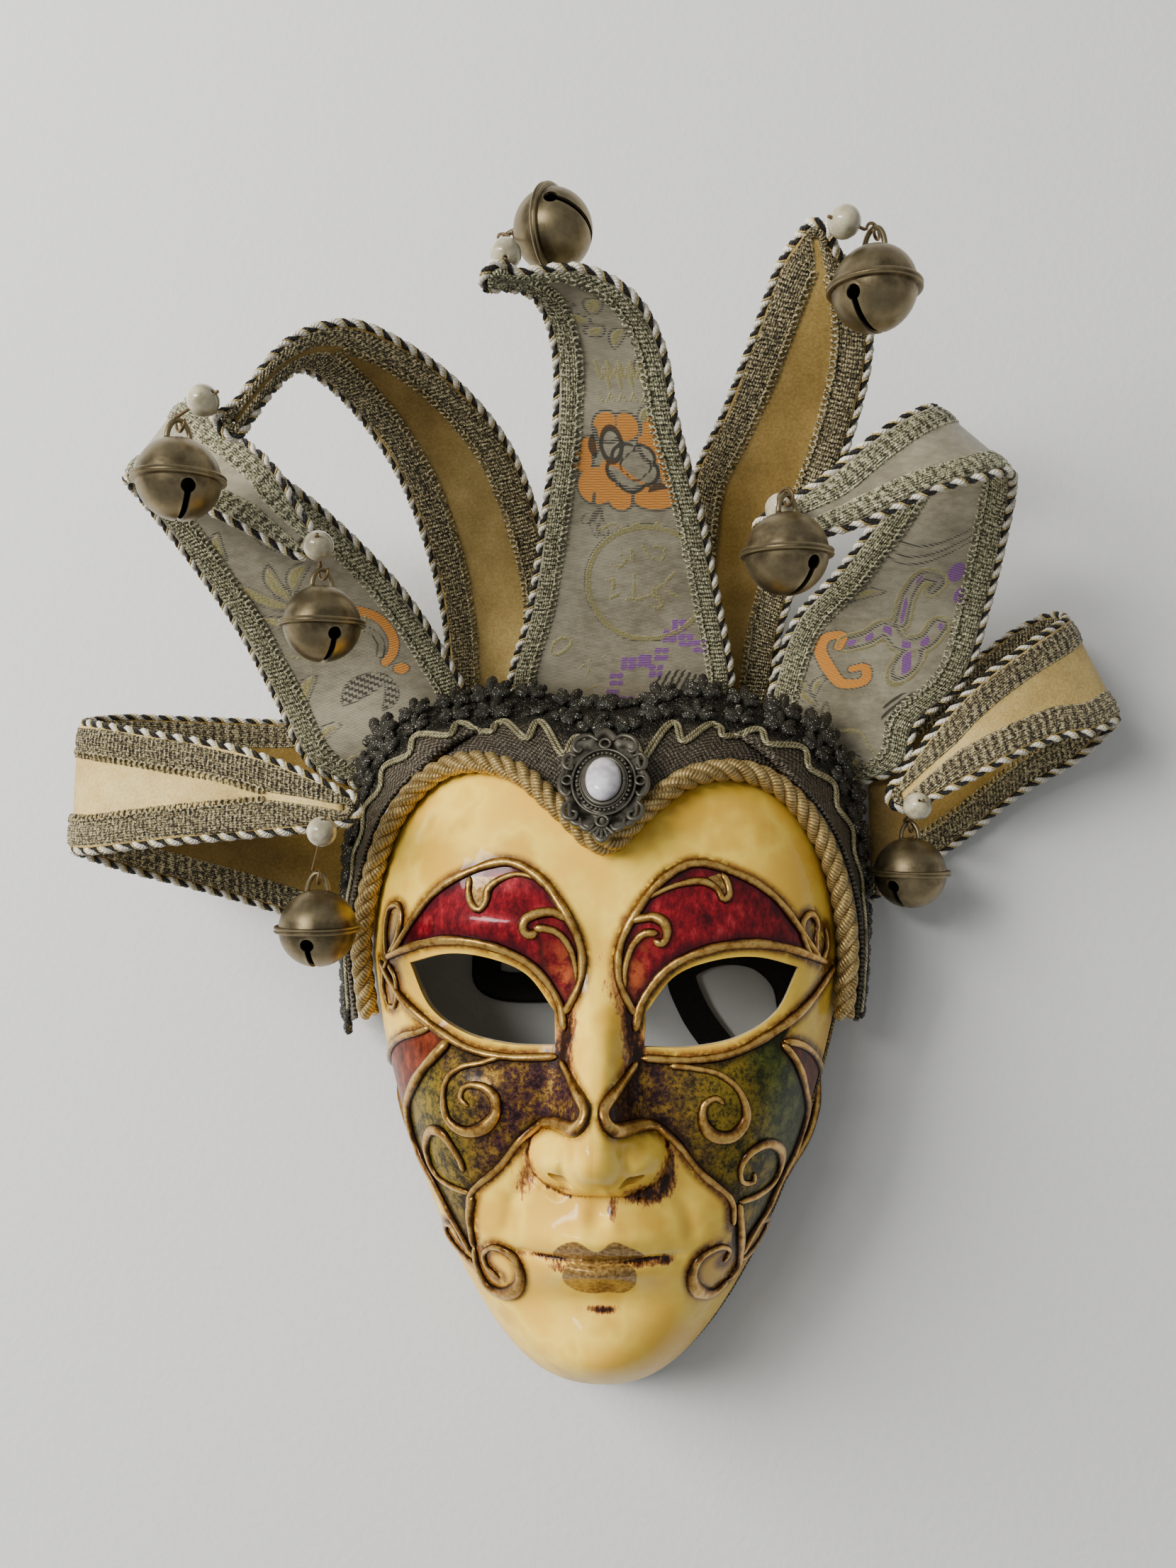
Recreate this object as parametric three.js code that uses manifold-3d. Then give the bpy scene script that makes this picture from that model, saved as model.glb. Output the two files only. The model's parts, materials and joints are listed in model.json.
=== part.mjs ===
// Venetian jester mask: a full-face shell crowned by seven cloth-covered rays with bells.
// It lies on its back: the shell's rim is in the plane z = 0, +Z runs out of the face and
// +Y to the top of the head. All sizes are in millimetres and all angles in degrees.
import * as THREE from 'three';
import { mergeVertices } from 'three/addons/utils/BufferGeometryUtils.js';
import Module from 'manifold-3d';

const wasm = await Module();
wasm.setup();

// Where the middle of the whole part's footprint lies, measured from the point midway
// between the brows on the face's own axis.
const FOOTPRINT_MIDDLE = [-2.6, 55];

// Gap left between two pieces that are glued, sewn or wired together.
const CLEARANCE = 0.3;

// Gap beside a seam between two bent strips of cloth or braid.
const SEAM_GAP = 0.8;

const FACE = {
  middle: -2,
  halfWidth: 86.5,
  brow: 10,
  toTop: 92,
  toChin: 147,
  jawTaper: 0.347,
  depth: 74,
  wall: 3,
  softening: 7,
  gridCentre: [0, -50],
  segments: 36,
  rings: 14,
};

const NOSE = { root: 14, tip: -47, rise: 22, under: 9, narrow: 7.5, widen: 5 };

// Rounded swellings and hollows of the face, mirrored left and right:
// [x, y, spread in x, spread in y, height].
const SWELLINGS = [
  [13.5, -53, 6.5, 7, 9],
  [0, -76, 27, 15, 7],
  [-1, -117, 26, 15, 12],
  [38, -8, 20, 12, -7],
  [30, 20, 24, 8, 3],
  [42, -38, 20, 18, 5],
  [0, -75.5, 17, 4, 3.5],
  [0, -86, 14, 4.5, 4],
  [0, -80.6, 24, 2.4, -2.5],
  [0, -95.5, 18, 4.5, -3.5],
];

// Openings of the face, right half: the eye's outline and one nostril.
const EYE = {
  outer: [63.5, 7.5],
  upper: [[50, 10.5], [37, 9.5], [24, 4.5], [14.6, -7]],
  lower: [[14.2, -17.5], [29, -17.5], [44, -14.5], [56, -7]],
};
const NOSTRIL = { x: 10.5, y: -56.5, halfWidth: 3.2, halfHeight: 1.5, splay: 25, tilt: 50 };

// Raised gold lines of the face, right half: points on the face, seen from the front.
const LINE_RADIUS = 1.5;
const RAISED_LINES = {
  brow: [[71, 10], [55, 30], [43, 37], [30, 40], [20, 35], [12, 25], [6.5, 14], [6, 3], [11, -8]],
  lid: [[74, 9], [60, 13.5], [48, 15], [34, 13], [21.5, 7], [13, -4], [11, -13]],
  underEye: [[77, 8], [66, -5], [56, -12.5], [42, -19.5], [29, -21.5], [13, -21]],
  nose: [
    [12, -22], [6.5, -29], [2.6, -35], [5, -40], [17, -41], [23, -45], [31, -55], [41, -65], [42, -74],
  ],
  border: [[57, -13], [70, -19], [71.5, -32], [67, -45], [58, -62], [48, -80], [44, -91]],
};

// The rope runs round the heart-shaped edge of the bare face, from temple to temple.
const ROPE = { diameter: 7.5, lift: 0.9, steps: 36, sides: 5 };
const ROPE_PATH = [
  [-79.5, -10], [-81, 14], [-76.5, 37], [-69, 56], [-56, 69], [-43, 72], [-27, 67.5], [-13, 56],
  [1.5, 45], [13, 55], [27, 66], [43, 69], [55, 65], [66.5, 53], [74, 36], [77.3, 14], [76.2, -8],
];

// The lace follows the shell outwards from the rope, then stands out over the rim.
const LACE = {
  thickness: 1.6,
  lift: 2.2,
  steps: 44,
  rows: [0, 0.42, 0.72, 0.9, 1],
  scallop: 1.8,
  rimSpread: 0.985,
  outline: [
    [-97, -15], [-98, 12], [-99, 42], [-96, 70], [-90, 86], [-78, 99], [-57, 106], [-30, 111.5],
    [0, 104], [30, 111.5], [57, 104], [74, 95], [85, 82], [90, 64], [91.5, 40], [90, 12], [88, -12],
  ],
  templeHeight: 12,
  topHeight: 25.5,
};
const WAVY_CORD = { diameter: 2.4, waves: 13, sway: 0.24, middle: 0.5, gap: 2.2, ends: 11 };
const RIM_BRAID = { thickness: 2, low: 0.6, high: 9, steps: 28, from: 188, to: 352, gap: 0.6 };
const BROOCH = { halfWidth: 13.5, halfHeight: 19.5, thickness: 2.6, centre: [1, 64.3, 77.5], lean: 24 };
const CABOCHON = { halfWidth: 5.2, halfHeight: 7, rise: 4 };

const RIBBON = { width: 11, thickness: 1 };
const RIBBON_ROUTES = {
  tie_ribbon_left: [[-12, 13.5], [-40, 13], [-48, 5.7], [-40, -1.5], [-12, 0]],
  tie_ribbon_right: [[67, -12], [64, 2], [54, 11], [38, 12], [26, 5], [30, -9], [42, -26]],
};

const CARD_THICKNESS = 2.4;
const BRAID = { width: 9.4, thickness: 4.2, leastInner: 0.9 };
const CARD_LEAST = 0.5;
const EDGE_CORD = 4;
const BELL = {
  radius: 12.5,
  wall: 0.9,
  flange: 14,
  flangeHeight: 1.3,
  slot: 1.9,
  slotEnd: 2.2,
  slotRise: -20,
};
const SHANK = { wire: 1.7, halfWidth: 3.4, height: 7 };
const PEARL_RADIUS = 4.8;
const LINK_WIRE = 1;

// The seven rays. A station is [x, y, z, width over the cords, turn], where turn is the
// plan angle of the line that crosses the ray there from its left or upper edge to its other.
// Each bell has its centre, the direction of its shank and the direction of its slot's end.
const RAYS = {
  centre: {
    cloth: 'brocade',
    steps: 8,
    stations: [
      [3, 104.8, 11, 84, 0], [3, 112, 20, 86, 0], [5, 134, 34, 73, -1], [5, 166, 60, 56, -1],
      [4, 185, 79, 44, -2], [2, 204, 97, 38, -2], [-4, 212, 110, 34, 0], [-14, 214, 118, 26, 15],
      [-29, 211, 123, 14, 28],
    ],
    bell: { centre: [-14.5, 235.6, 109.5], shank: [-0.93, 0.1, -0.35], slot: [0.3, 0.2, 0.9] },
    pearl: [-27.6, 221.5, 120],
  },
  upper_left: {
    cloth: 'velvet',
    steps: 9,
    stations: [
      [-47, 103.8, 3, 38, 6], [-45, 116, 7, 42, 2], [-44, 141, 14, 47, 15], [-48, 165, 32, 46, 18],
      [-55, 184, 54, 44, 15], [-66, 196, 76, 40, 14], [-78, 201, 96, 33, 22], [-87, 200, 108, 26, 43],
      [-97, 190, 116, 22, 70], [-108.5, 168.5, 122, 14, 103],
    ],
    bell: { centre: [-125, 151, 122], shank: [0, 0.99, 0.14], slot: [0.6, 0, 0.8] },
    pearl: [-115, 171.5, 130.8],
  },
  upper_right: {
    cloth: 'velvet',
    steps: 7,
    stations: [
      [42, 104, 3, 35, -4], [43, 116, 8, 38, -6], [45, 141, 18, 43, -26], [51, 169, 42, 51, -30],
      [61, 189, 64, 47, -19], [67.5, 207, 88, 41, -13], [69, 219, 106, 31, -24],
      [66.5, 224.5, 118, 14, -33],
    ],
    bell: { centre: [82, 205, 122], shank: [0, 0.99, 0.14], slot: [-0.64, 0, 0.77] },
    pearl: [72.5, 221.4, 130],
  },
  side_left: {
    cloth: 'brocade',
    steps: 10,
    stations: [
      [-79.5, 85, 11, 48, 32], [-85, 93, 16.5, 68, 22], [-94, 112, 25, 69, 16], [-106, 134, 40, 65, 14],
      [-124, 156, 58, 55, 18], [-144, 174, 74, 40, 38], [-150, 180, 86, 37, 54], [-137, 172, 95, 33, 51],
      [-114, 157, 98, 27, 44], [-105, 149, 96, 20, 42], [-96, 141, 94, 14, 43],
    ],
    bell: { centre: [-90.5, 116, 86], shank: [0, 0.99, 0.14], slot: [0.6, 0, 0.8] },
    pearl: [-88, 137, 101],
  },
  side_right: {
    cloth: 'brocade',
    steps: 11,
    stations: [
      [77, 84, 8, 34, -42], [83, 91, 13, 56, -23], [86, 105, 18, 58, -23], [97, 121, 27, 67, -22],
      [106, 138, 44, 56, -15], [114, 156, 64, 43, -23], [118, 169, 80, 37, -38], [116, 171, 92, 35, -44],
      [106, 166, 99, 34, -41], [93, 160, 100, 29, -40], [74, 150, 95, 22, -48], [54, 144, 89, 14, -64],
    ],
    bell: { centre: [57, 130, 107], shank: [0, 0.99, 0.14], slot: [0.6, 0, 0.8] },
    pearl: [56, 147.5, 98.5],
  },
  low_left: {
    cloth: 'velvet',
    steps: 10,
    stations: [
      [-96.5, 58, 4.5, 82, -88], [-108, 59.5, 6, 84, -88], [-129, 62, 10, 77, -85], [-155, 65, 24, 68, -83],
      [-176, 67, 40, 59, -86], [-184, 67, 57, 49, -91], [-173, 65, 67, 47, -90], [-151, 64, 72, 41, -86],
      [-119, 62, 76, 32, -90], [-96, 59, 77, 22, -87], [-84, 57, 76, 14, -88],
    ],
    bell: { centre: [-92, 18.3, 72], shank: [0, 0.99, 0.14], slot: [0, 0, 1] },
    pearl: [-88, 48.5, 85],
  },
  low_right: {
    cloth: 'velvet',
    steps: 10,
    stations: [
      [95.8, 61, 4, 62, -90], [108, 71, 5, 63, -88], [125, 82, 7, 62, -86], [149, 101, 11, 64, -90],
      [164.5, 109.5, 17, 57, -80], [170.5, 113, 29, 44, -66], [160.5, 106.5, 37, 42, -70],
      [151, 103, 40, 38, -77], [131, 91, 42, 32, -76], [115, 78, 38, 24, -76], [103, 67, 33, 14, -70],
    ],
    bell: { centre: [106.2, 40.5, 25], shank: [0, 0.99, 0.14], slot: [-0.64, 0, 0.77] },
    pearl: [106, 62, 42.5],
  },
};

const FINISH = {
  ivory: { color: 0xd9c27e, roughness: 0.3, metalness: 0 },
  goldRope: { color: 0xb99a5c, roughness: 0.45, metalness: 0.5 },
  darkLace: { color: 0x4a463c, roughness: 0.6, metalness: 0.3 },
  silverCord: { color: 0xa9a284, roughness: 0.4, metalness: 0.5 },
  rimBraid: { color: 0x5a4a28, roughness: 0.6, metalness: 0.3 },
  brocade: { color: 0x9c998c, roughness: 0.5, metalness: 0.1 },
  velvet: { color: 0x8a6c2c, roughness: 0.9, metalness: 0 },
  braid: { color: 0x6e6a55, roughness: 0.6, metalness: 0.3 },
  edgeCord: { color: 0xb8ae92, roughness: 0.7, metalness: 0 },
  antiqueBrass: { color: 0x6e5f42, roughness: 0.35, metalness: 0.9 },
  pearl: { color: 0xe8e2d2, roughness: 0.2, metalness: 0 },
  bronzeWire: { color: 0x5c4a3a, roughness: 0.4, metalness: 0.9 },
  pewter: { color: 0x6c685e, roughness: 0.35, metalness: 0.9 },
  cabochon: { color: 0xdedbd4, roughness: 0.2, metalness: 0 },
  blackRibbon: { color: 0x0c0b0b, roughness: 0.6, metalness: 0 },
};

const model = new THREE.Group();
model.position.set(-FOOTPRINT_MIDDLE[0], -FOOTPRINT_MIDDLE[1], 0);

function addPiece(name, geometry, finish) {
  const mesh = new THREE.Mesh(geometry, new THREE.MeshStandardMaterial(FINISH[finish]));
  mesh.name = name;
  model.add(mesh);
}

// Position-only copy of a geometry with its shared vertices merged.
function mergedCopy(geometry) {
  const bare = geometry.clone();
  bare.deleteAttribute('normal');
  bare.deleteAttribute('uv');
  return mergeVertices(bare, 1e-4);
}

function toSolid(geometry) {
  const merged = mergedCopy(geometry);
  return new wasm.Manifold(new wasm.Mesh({
    numProp: 3,
    vertProperties: merged.attributes.position.array,
    triVerts: merged.index.array,
  }));
}

function toGeometry(solid) {
  const mesh = solid.getMesh();
  const geometry = new THREE.BufferGeometry();
  geometry.setAttribute('position', new THREE.BufferAttribute(mesh.vertProperties, 3));
  geometry.setIndex(new THREE.BufferAttribute(mesh.triVerts, 1));
  return geometry;
}

// Moves every vertex of a geometry with a function of its old position.
function reshape(geometry, move) {
  const positions = geometry.attributes.position;
  const point = new THREE.Vector3();
  for (let i = 0; i < positions.count; i += 1) {
    point.fromBufferAttribute(positions, i);
    const moved = move(point);
    positions.setXYZ(i, moved.x, moved.y, moved.z);
  }
  return mergedCopy(geometry);
}

// Outline with a number of corners, each placed by a function of its angle in radians.
function polygon(corners, cornerAt) {
  const angles = Array.from({ length: corners }, (_, i) => (i / corners) * 2 * Math.PI);
  return new THREE.Shape(angles.map((angle) => new THREE.Vector2(...cornerAt(angle))));
}

// A bar of three to eight sides along a curve.
function roundBar(curve, steps, radius, sides) {
  const section = polygon(sides, (angle) => [radius * Math.cos(angle), radius * Math.sin(angle)]);
  return new THREE.ExtrudeGeometry(section, { steps, extrudePath: curve, bevelEnabled: false });
}

function curveThrough(points) {
  return new THREE.CatmullRomCurve3(points, false, 'centripetal');
}

function radians(degrees) {
  return THREE.MathUtils.degToRad(degrees);
}

// The face. Spread is 0 at the brow and 1 on the rim, whose outline is an egg: two
// superellipse halves that meet at brow height, the lower one narrowing to the jaw.
function faceSpread(x, y) {
  const below = y < FACE.brow;
  const along = below ? (FACE.brow - y) / FACE.toChin : (y - FACE.brow) / FACE.toTop;
  const power = below ? 2.4 : 2.6;
  const reach = FACE.halfWidth * (below ? 1 - FACE.jawTaper * along : 1);
  return ((Math.abs(x - FACE.middle) / reach) ** power + along ** power) ** (1 / power);
}

function domeHeight(x, y) {
  return FACE.depth * (1 - Math.min(faceSpread(x, y), 1) ** 3.4) ** 0.435;
}

// Nose, lips, chin, brows and cheeks: what stands out of the plain dome.
function relief(x, y) {
  const down = 1 - THREE.MathUtils.smoothstep(y, NOSE.tip, NOSE.root);
  const under = y < NOSE.tip ? Math.exp(-(((y - NOSE.tip) / NOSE.under) ** 2)) : 1;
  const across = Math.exp(-((Math.abs(x) / (NOSE.narrow + NOSE.widen * down)) ** 2.2));
  let height = NOSE.rise * down ** 1.2 * under * across;
  for (const [cx, cy, sx, sy, rise] of SWELLINGS) {
    height += rise * Math.exp(-(((Math.abs(x) - cx) / sx) ** 2) - ((y - cy) / sy) ** 2);
  }
  return height * (1 - THREE.MathUtils.smoothstep(faceSpread(x, y), 0.93, 1));
}

function faceHeight(x, y) {
  return domeHeight(x, y) + relief(x, y);
}

// The inner face follows the outer one with softer features, and never comes nearer to it
// than the wall.
function hollowHeight(x, y) {
  const scale = 1 - FACE.wall / FACE.halfWidth;
  const around = [0, 45, 90, 135, 180, 225, 270, 315].map((degrees) => {
    const angle = radians(degrees);
    return relief(x + FACE.softening * Math.cos(angle), y + FACE.softening * Math.sin(angle));
  });
  return domeHeight(x / scale, y / scale) + Math.min(relief(x, y), ...around) - FACE.wall;
}

function faceNormal(x, y) {
  const step = 0.4;
  const slopeX = (faceHeight(x + step, y) - faceHeight(x - step, y)) / (2 * step);
  const slopeY = (faceHeight(x, y + step) - faceHeight(x, y - step)) / (2 * step);
  return new THREE.Vector3(-slopeX, -slopeY, 1).normalize();
}

// The point of the face seen at (x, y) from the front, lifted along the surface's normal.
function onFace([x, y], lift = 0) {
  return new THREE.Vector3(x, y, faceHeight(x, y)).addScaledVector(faceNormal(x, y), lift);
}

// Distance from a point inside the face's outline to a chosen spread, in one direction.
function reachOf(centre, angle, spread) {
  let low = 0;
  let high = 200;
  for (let i = 0; i < 30; i += 1) {
    const middle = (low + high) / 2;
    const x = centre[0] + middle * Math.cos(angle);
    const y = centre[1] + middle * Math.sin(angle);
    if (faceSpread(x, y) < spread) {
      low = middle;
    } else {
      high = middle;
    }
  }
  return low;
}

// A closed dome whose lower side is flat at floor height.
function faceDome(segments, rings, scale, floor, heightAt) {
  const profile = [];
  for (let i = 0; i <= rings; i += 1) {
    const share = Math.sin((i / rings) ** 1.25 * (Math.PI / 2)) ** 1.15;
    profile.push(new THREE.Vector2(share, 1));
  }
  profile.push(new THREE.Vector2(1, 0), new THREE.Vector2(0, 0));
  const lathe = new THREE.LatheGeometry(profile.reverse(), segments);
  return reshape(lathe, (p) => {
    const angle = Math.atan2(-p.z, p.x);
    const reach = Math.hypot(p.x, p.z) * scale * reachOf(FACE.gridCentre, angle, 1);
    const x = FACE.gridCentre[0] + reach * Math.cos(angle);
    const y = FACE.gridCentre[1] + reach * Math.sin(angle);
    return new THREE.Vector3(x, y, p.y < 0.5 ? floor : Math.max(heightAt(x, y), floor));
  });
}

function eyeOpening(side) {
  const toVector = ([x, y]) => new THREE.Vector2(side * x, y);
  const outline = new THREE.Shape();
  outline.moveTo(side * EYE.outer[0], EYE.outer[1]);
  outline.splineThru(EYE.upper.map(toVector));
  outline.splineThru([...EYE.lower, EYE.outer].map(toVector));
  const depth = FACE.depth + 40;
  return toSolid(new THREE.ExtrudeGeometry(outline, { depth, curveSegments: 2, bevelEnabled: false }));
}

function nostrilOpening(side) {
  const outline = new THREE.Shape();
  outline.absellipse(0, 0, NOSTRIL.halfWidth, NOSTRIL.halfHeight, 0, 2 * Math.PI);
  const depth = 16;
  const slot = new THREE.ExtrudeGeometry(outline, { depth, curveSegments: 4, bevelEnabled: false });
  slot.translate(0, 0, -depth / 2);
  slot.rotateZ(radians(-side * NOSTRIL.splay));
  slot.rotateX(radians(NOSTRIL.tilt));
  slot.translate(side * NOSTRIL.x, NOSTRIL.y, faceHeight(NOSTRIL.x, NOSTRIL.y));
  return toSolid(slot);
}

function buildFaceShell() {
  let shell = toSolid(faceDome(FACE.segments, FACE.rings, 1, 0, faceHeight));
  const innerScale = 1 - FACE.wall / FACE.halfWidth;
  const hollow = faceDome(FACE.segments / 2, Math.ceil(FACE.rings / 2), innerScale, -1, hollowHeight);
  shell = shell.subtract(toSolid(hollow));
  for (const side of [-1, 1]) {
    for (const route of Object.values(RAISED_LINES)) {
      const curve = curveThrough(route.map(([x, y]) => onFace([side * x, y])));
      const steps = Math.round(curve.getLength() / 9.5);
      shell = shell.add(toSolid(roundBar(curve, steps, LINE_RADIUS, 3)));
    }
    shell = shell.subtract(eyeOpening(side)).subtract(nostrilOpening(side));
  }
  addPiece('face_shell', toGeometry(shell), 'ivory');
}

const ropeCurve = curveThrough(ROPE_PATH.map((point) => onFace(point, ROPE.diameter / 2 + ROPE.lift)));
const laceOutline = curveThrough(LACE.outline.map(([x, y]) => new THREE.Vector3(x, y, 0)));

function buildRope() {
  addPiece('heart_rope', roundBar(ropeCurve, ROPE.steps, ROPE.diameter / 2, ROPE.sides), 'goldRope');
}

// Middle of the lace's thickness: along runs 0 to 1 from temple to temple, out from 0
// beside the rope to 1 at the rim, and any more is the free edge.
function lacePoint(along, out, scallop = 0) {
  const rope = ropeCurve.getPoint(along);
  const edge = laceOutline.getPoint(along);
  const away = new THREE.Vector2(edge.x - rope.x, edge.y - rope.y);
  const width = away.length();
  away.normalize();
  const start = ROPE.diameter / 2 + 1.5;
  const toRim = reachOf([rope.x, rope.y], Math.atan2(away.y, away.x), LACE.rimSpread);
  const rim = Math.max(toRim, start + 2);
  const reach = out <= 1 ? start + (rim - start) * out : width + scallop;
  const x = rope.x + away.x * reach;
  const y = rope.y + away.y * reach;
  if (reach <= toRim) {
    return onFace([x, y], LACE.lift);
  }
  const up = THREE.MathUtils.smoothstep(y, 50, 95);
  const free = LACE.templeHeight + (LACE.topHeight - LACE.templeHeight) * up;
  const height = out > 1 ? free : THREE.MathUtils.lerp(rope.z - 3, free, (reach - start) / (width - start));
  return new THREE.Vector3(x, y, height);
}

function buildLace() {
  const rows = [...LACE.rows, 2];
  const band = new THREE.BoxGeometry(rows.length - 1, 1, LACE.thickness, rows.length - 1, LACE.steps, 1);
  addPiece('lace_band', reshape(band, (p) => {
    const step = Math.round((p.y + 0.5) * LACE.steps);
    const scallop = step % 2 === 0 ? -LACE.scallop : LACE.scallop;
    const row = Math.round(p.x + (rows.length - 1) / 2);
    return lacePoint(1 - step / LACE.steps, rows[row], scallop).add(new THREE.Vector3(0, 0, p.z));
  }), 'darkLace');
}

function buildWavyCord() {
  const count = WAVY_CORD.waves * 4;
  const lift = LACE.thickness / 2 + WAVY_CORD.gap;
  const points = [];
  for (let i = WAVY_CORD.ends; i <= count - WAVY_CORD.ends; i += 1) {
    const out = WAVY_CORD.middle + WAVY_CORD.sway * Math.sin((i * Math.PI) / 2);
    const point = lacePoint(i / count, out);
    const ahead = lacePoint((i + 1) / count, out).sub(point);
    const outwards = lacePoint(i / count, out + 0.1).sub(point);
    points.push(point.addScaledVector(ahead.cross(outwards).normalize(), lift));
  }
  const bar = roundBar(curveThrough(points), Math.round(1.5 * count), WAVY_CORD.diameter / 2, 3);
  addPiece('wavy_cord', bar, 'silverCord');
}

// The braid glued round the rim of the jaw, from temple to temple under the chin.
function buildRimBraid() {
  const { thickness, low, high, steps, from, to, gap } = RIM_BRAID;
  const strip = new THREE.BoxGeometry(thickness, 1, high - low, 1, steps, 1);
  addPiece('jaw_rim_braid', reshape(strip, (p) => {
    const angle = radians(from + (p.y + 0.5) * (to - from));
    const reach = reachOf([0, FACE.brow], angle, 1) + gap + thickness / 2 + p.x;
    const x = reach * Math.cos(angle);
    const y = FACE.brow + reach * Math.sin(angle);
    return new THREE.Vector3(x, y, (low + high) / 2 + p.z);
  }), 'rimBraid');
}

// The antique oval brooch over the dip of the heart, leaning back with the forehead.
function buildBrooch() {
  const { halfWidth, halfHeight, thickness, centre, lean } = BROOCH;
  const corners = 32;
  const outline = polygon(corners, (angle) => {
    const lobes = 1 + 0.07 * Math.cos(8 * angle);
    const point = 0.06 * Math.max(0, -Math.sin(angle)) ** 24;
    return [halfWidth * lobes * Math.cos(angle), halfHeight * (lobes + point) * Math.sin(angle)];
  });
  const place = (geometry) => geometry.rotateX(radians(-lean)).translate(...centre);
  const plate = new THREE.ExtrudeGeometry(outline, { depth: thickness, bevelEnabled: false });
  const bezel = new THREE.TorusGeometry(1, 0.13, 4, 16);
  bezel.scale(CABOCHON.halfWidth + 2, CABOCHON.halfHeight + 2, 8).translate(0, 0, thickness);
  const pin = new THREE.CylinderGeometry(3, 3, 3, 8).rotateX(Math.PI / 2).translate(0, 0, -1);
  const frame = toSolid(plate).add(toSolid(bezel)).add(toSolid(pin));
  addPiece('brooch_frame', place(toGeometry(frame)), 'pewter');

  const profile = [new THREE.Vector2(0, 0), new THREE.Vector2(1, 0)];
  for (const angle of [25, 50, 72]) {
    profile.push(new THREE.Vector2(Math.cos(radians(angle)), Math.sin(radians(angle))));
  }
  profile.push(new THREE.Vector2(0, 1));
  const stone = new THREE.LatheGeometry(profile, 12).rotateX(Math.PI / 2);
  stone.scale(CABOCHON.halfWidth, CABOCHON.halfHeight, CABOCHON.rise);
  stone.translate(0, 0, thickness + CLEARANCE);
  addPiece('brooch_cabochon', place(mergedCopy(stone)), 'cabochon');
}

// The black ribbons that tie the mask, lying in the hollow behind the eyes.
function buildRibbons() {
  for (const [name, route] of Object.entries(RIBBON_ROUTES)) {
    const curve = curveThrough(route.map(([x, y]) => new THREE.Vector3(x, y, 1.5)));
    const steps = 2 * (route.length - 1);
    const strip = new THREE.BoxGeometry(RIBBON.width, 1, RIBBON.thickness, 1, steps, 1);
    addPiece(name, reshape(strip, (p) => {
      const ahead = curve.getTangentAt(p.y + 0.5);
      const across = new THREE.Vector3(ahead.y, -ahead.x, 0).multiplyScalar(p.x);
      return curve.getPointAt(p.y + 0.5).add(across).add(new THREE.Vector3(0, 0, p.z));
    }), 'blackRibbon');
  }
}

// A ray's two edge curves run along the middle of its cord.
class Ray {
  constructor({ stations, steps }) {
    this.steps = steps;
    this.edges = [-1, 1].map((side) => curveThrough(stations.map(([x, y, z, width, turn]) => {
      const reach = side * (width - EDGE_CORD) / 2;
      const [plan, tilt] = [Math.cos(radians(turn)), Math.sin(radians(turn))];
      return new THREE.Vector3(x + reach * plan, y + reach * tilt, z);
    })));
  }

  // Middle, unit directions across, ahead and out of the front, and the half width.
  frameAt(step) {
    const share = Math.min(step / this.steps, 1);
    const [left, right] = this.edges.map((edge) => edge.getPoint(share));
    const [aheadLeft, aheadRight] = this.edges.map((edge) => edge.getTangent(share));
    const across = right.clone().sub(left);
    const half = across.length() / 2;
    across.normalize();
    const ahead = aheadLeft.add(aheadRight);
    ahead.addScaledVector(across, -ahead.dot(across)).normalize();
    const facing = across.clone().cross(ahead);
    return { middle: left.add(right).multiplyScalar(0.5), across, ahead, facing, half };
  }

  point(step, reach, thickness) {
    const { middle, across, facing } = this.frameAt(step);
    return middle.addScaledVector(across, reach).addScaledVector(facing, thickness);
  }
}

const BRAID_OUTER = EDGE_CORD / 2 + SEAM_GAP;
const CARD_INSET = BRAID_OUTER + BRAID.width + SEAM_GAP;

function buildCard(name, ray, cloth) {
  const panel = new THREE.BoxGeometry(2, 1, CARD_THICKNESS, 1, ray.steps, 1);
  addPiece(`${name}_ray`, reshape(panel, (p) => {
    const step = Math.round((p.y + 0.5) * ray.steps);
    const reach = p.x * Math.max(ray.frameAt(step).half - CARD_INSET, CARD_LEAST);
    return ray.point(step, reach, p.z);
  }), cloth);
}

// A flat bar that runs up the ray's left edge, round the tip and down the right edge. Its
// inner and outer limits, from the ray's middle, follow from the ray's half width.
function edgeBar(ray, thickness, limitsAt) {
  const arcSteps = 4;
  const steps = 2 * ray.steps + arcSteps;
  const bar = new THREE.BoxGeometry(1, 1, thickness, 1, steps, 1);
  return reshape(bar, (p) => {
    const step = Math.round((0.5 + p.y) * steps);
    const arc = THREE.MathUtils.clamp((step - ray.steps) / arcSteps, 0, 1);
    const { middle, across, ahead, facing, half } = ray.frameAt(Math.min(step, steps - step));
    const outwards = across.multiplyScalar(-Math.cos(arc * Math.PI));
    outwards.addScaledVector(ahead, Math.sin(arc * Math.PI));
    const [inner, outer] = limitsAt(half);
    return middle.addScaledVector(outwards, p.x < 0 ? outer : inner).addScaledVector(facing, p.z);
  });
}

function buildBraid(name, ray) {
  addPiece(`${name}_braid`, edgeBar(ray, BRAID.thickness, (half) => {
    const outer = half - BRAID_OUTER;
    return [Math.max(outer - BRAID.width, BRAID.leastInner), outer];
  }), 'braid');
}

function buildEdgeCord(name, ray) {
  const limitsAt = (half) => [half - EDGE_CORD / 2, half + EDGE_CORD / 2];
  addPiece(`${name}_cord`, edgeBar(ray, EDGE_CORD, limitsAt), 'edgeCord');
}

// Basis with z along the shank and x towards the end of the slot.
function bellBasis({ shank, slot }) {
  const up = new THREE.Vector3(...shank).normalize();
  const towards = new THREE.Vector3(...slot);
  towards.addScaledVector(up, -towards.dot(up)).normalize();
  return new THREE.Matrix4().makeBasis(towards, up.clone().cross(towards), up);
}

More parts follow.
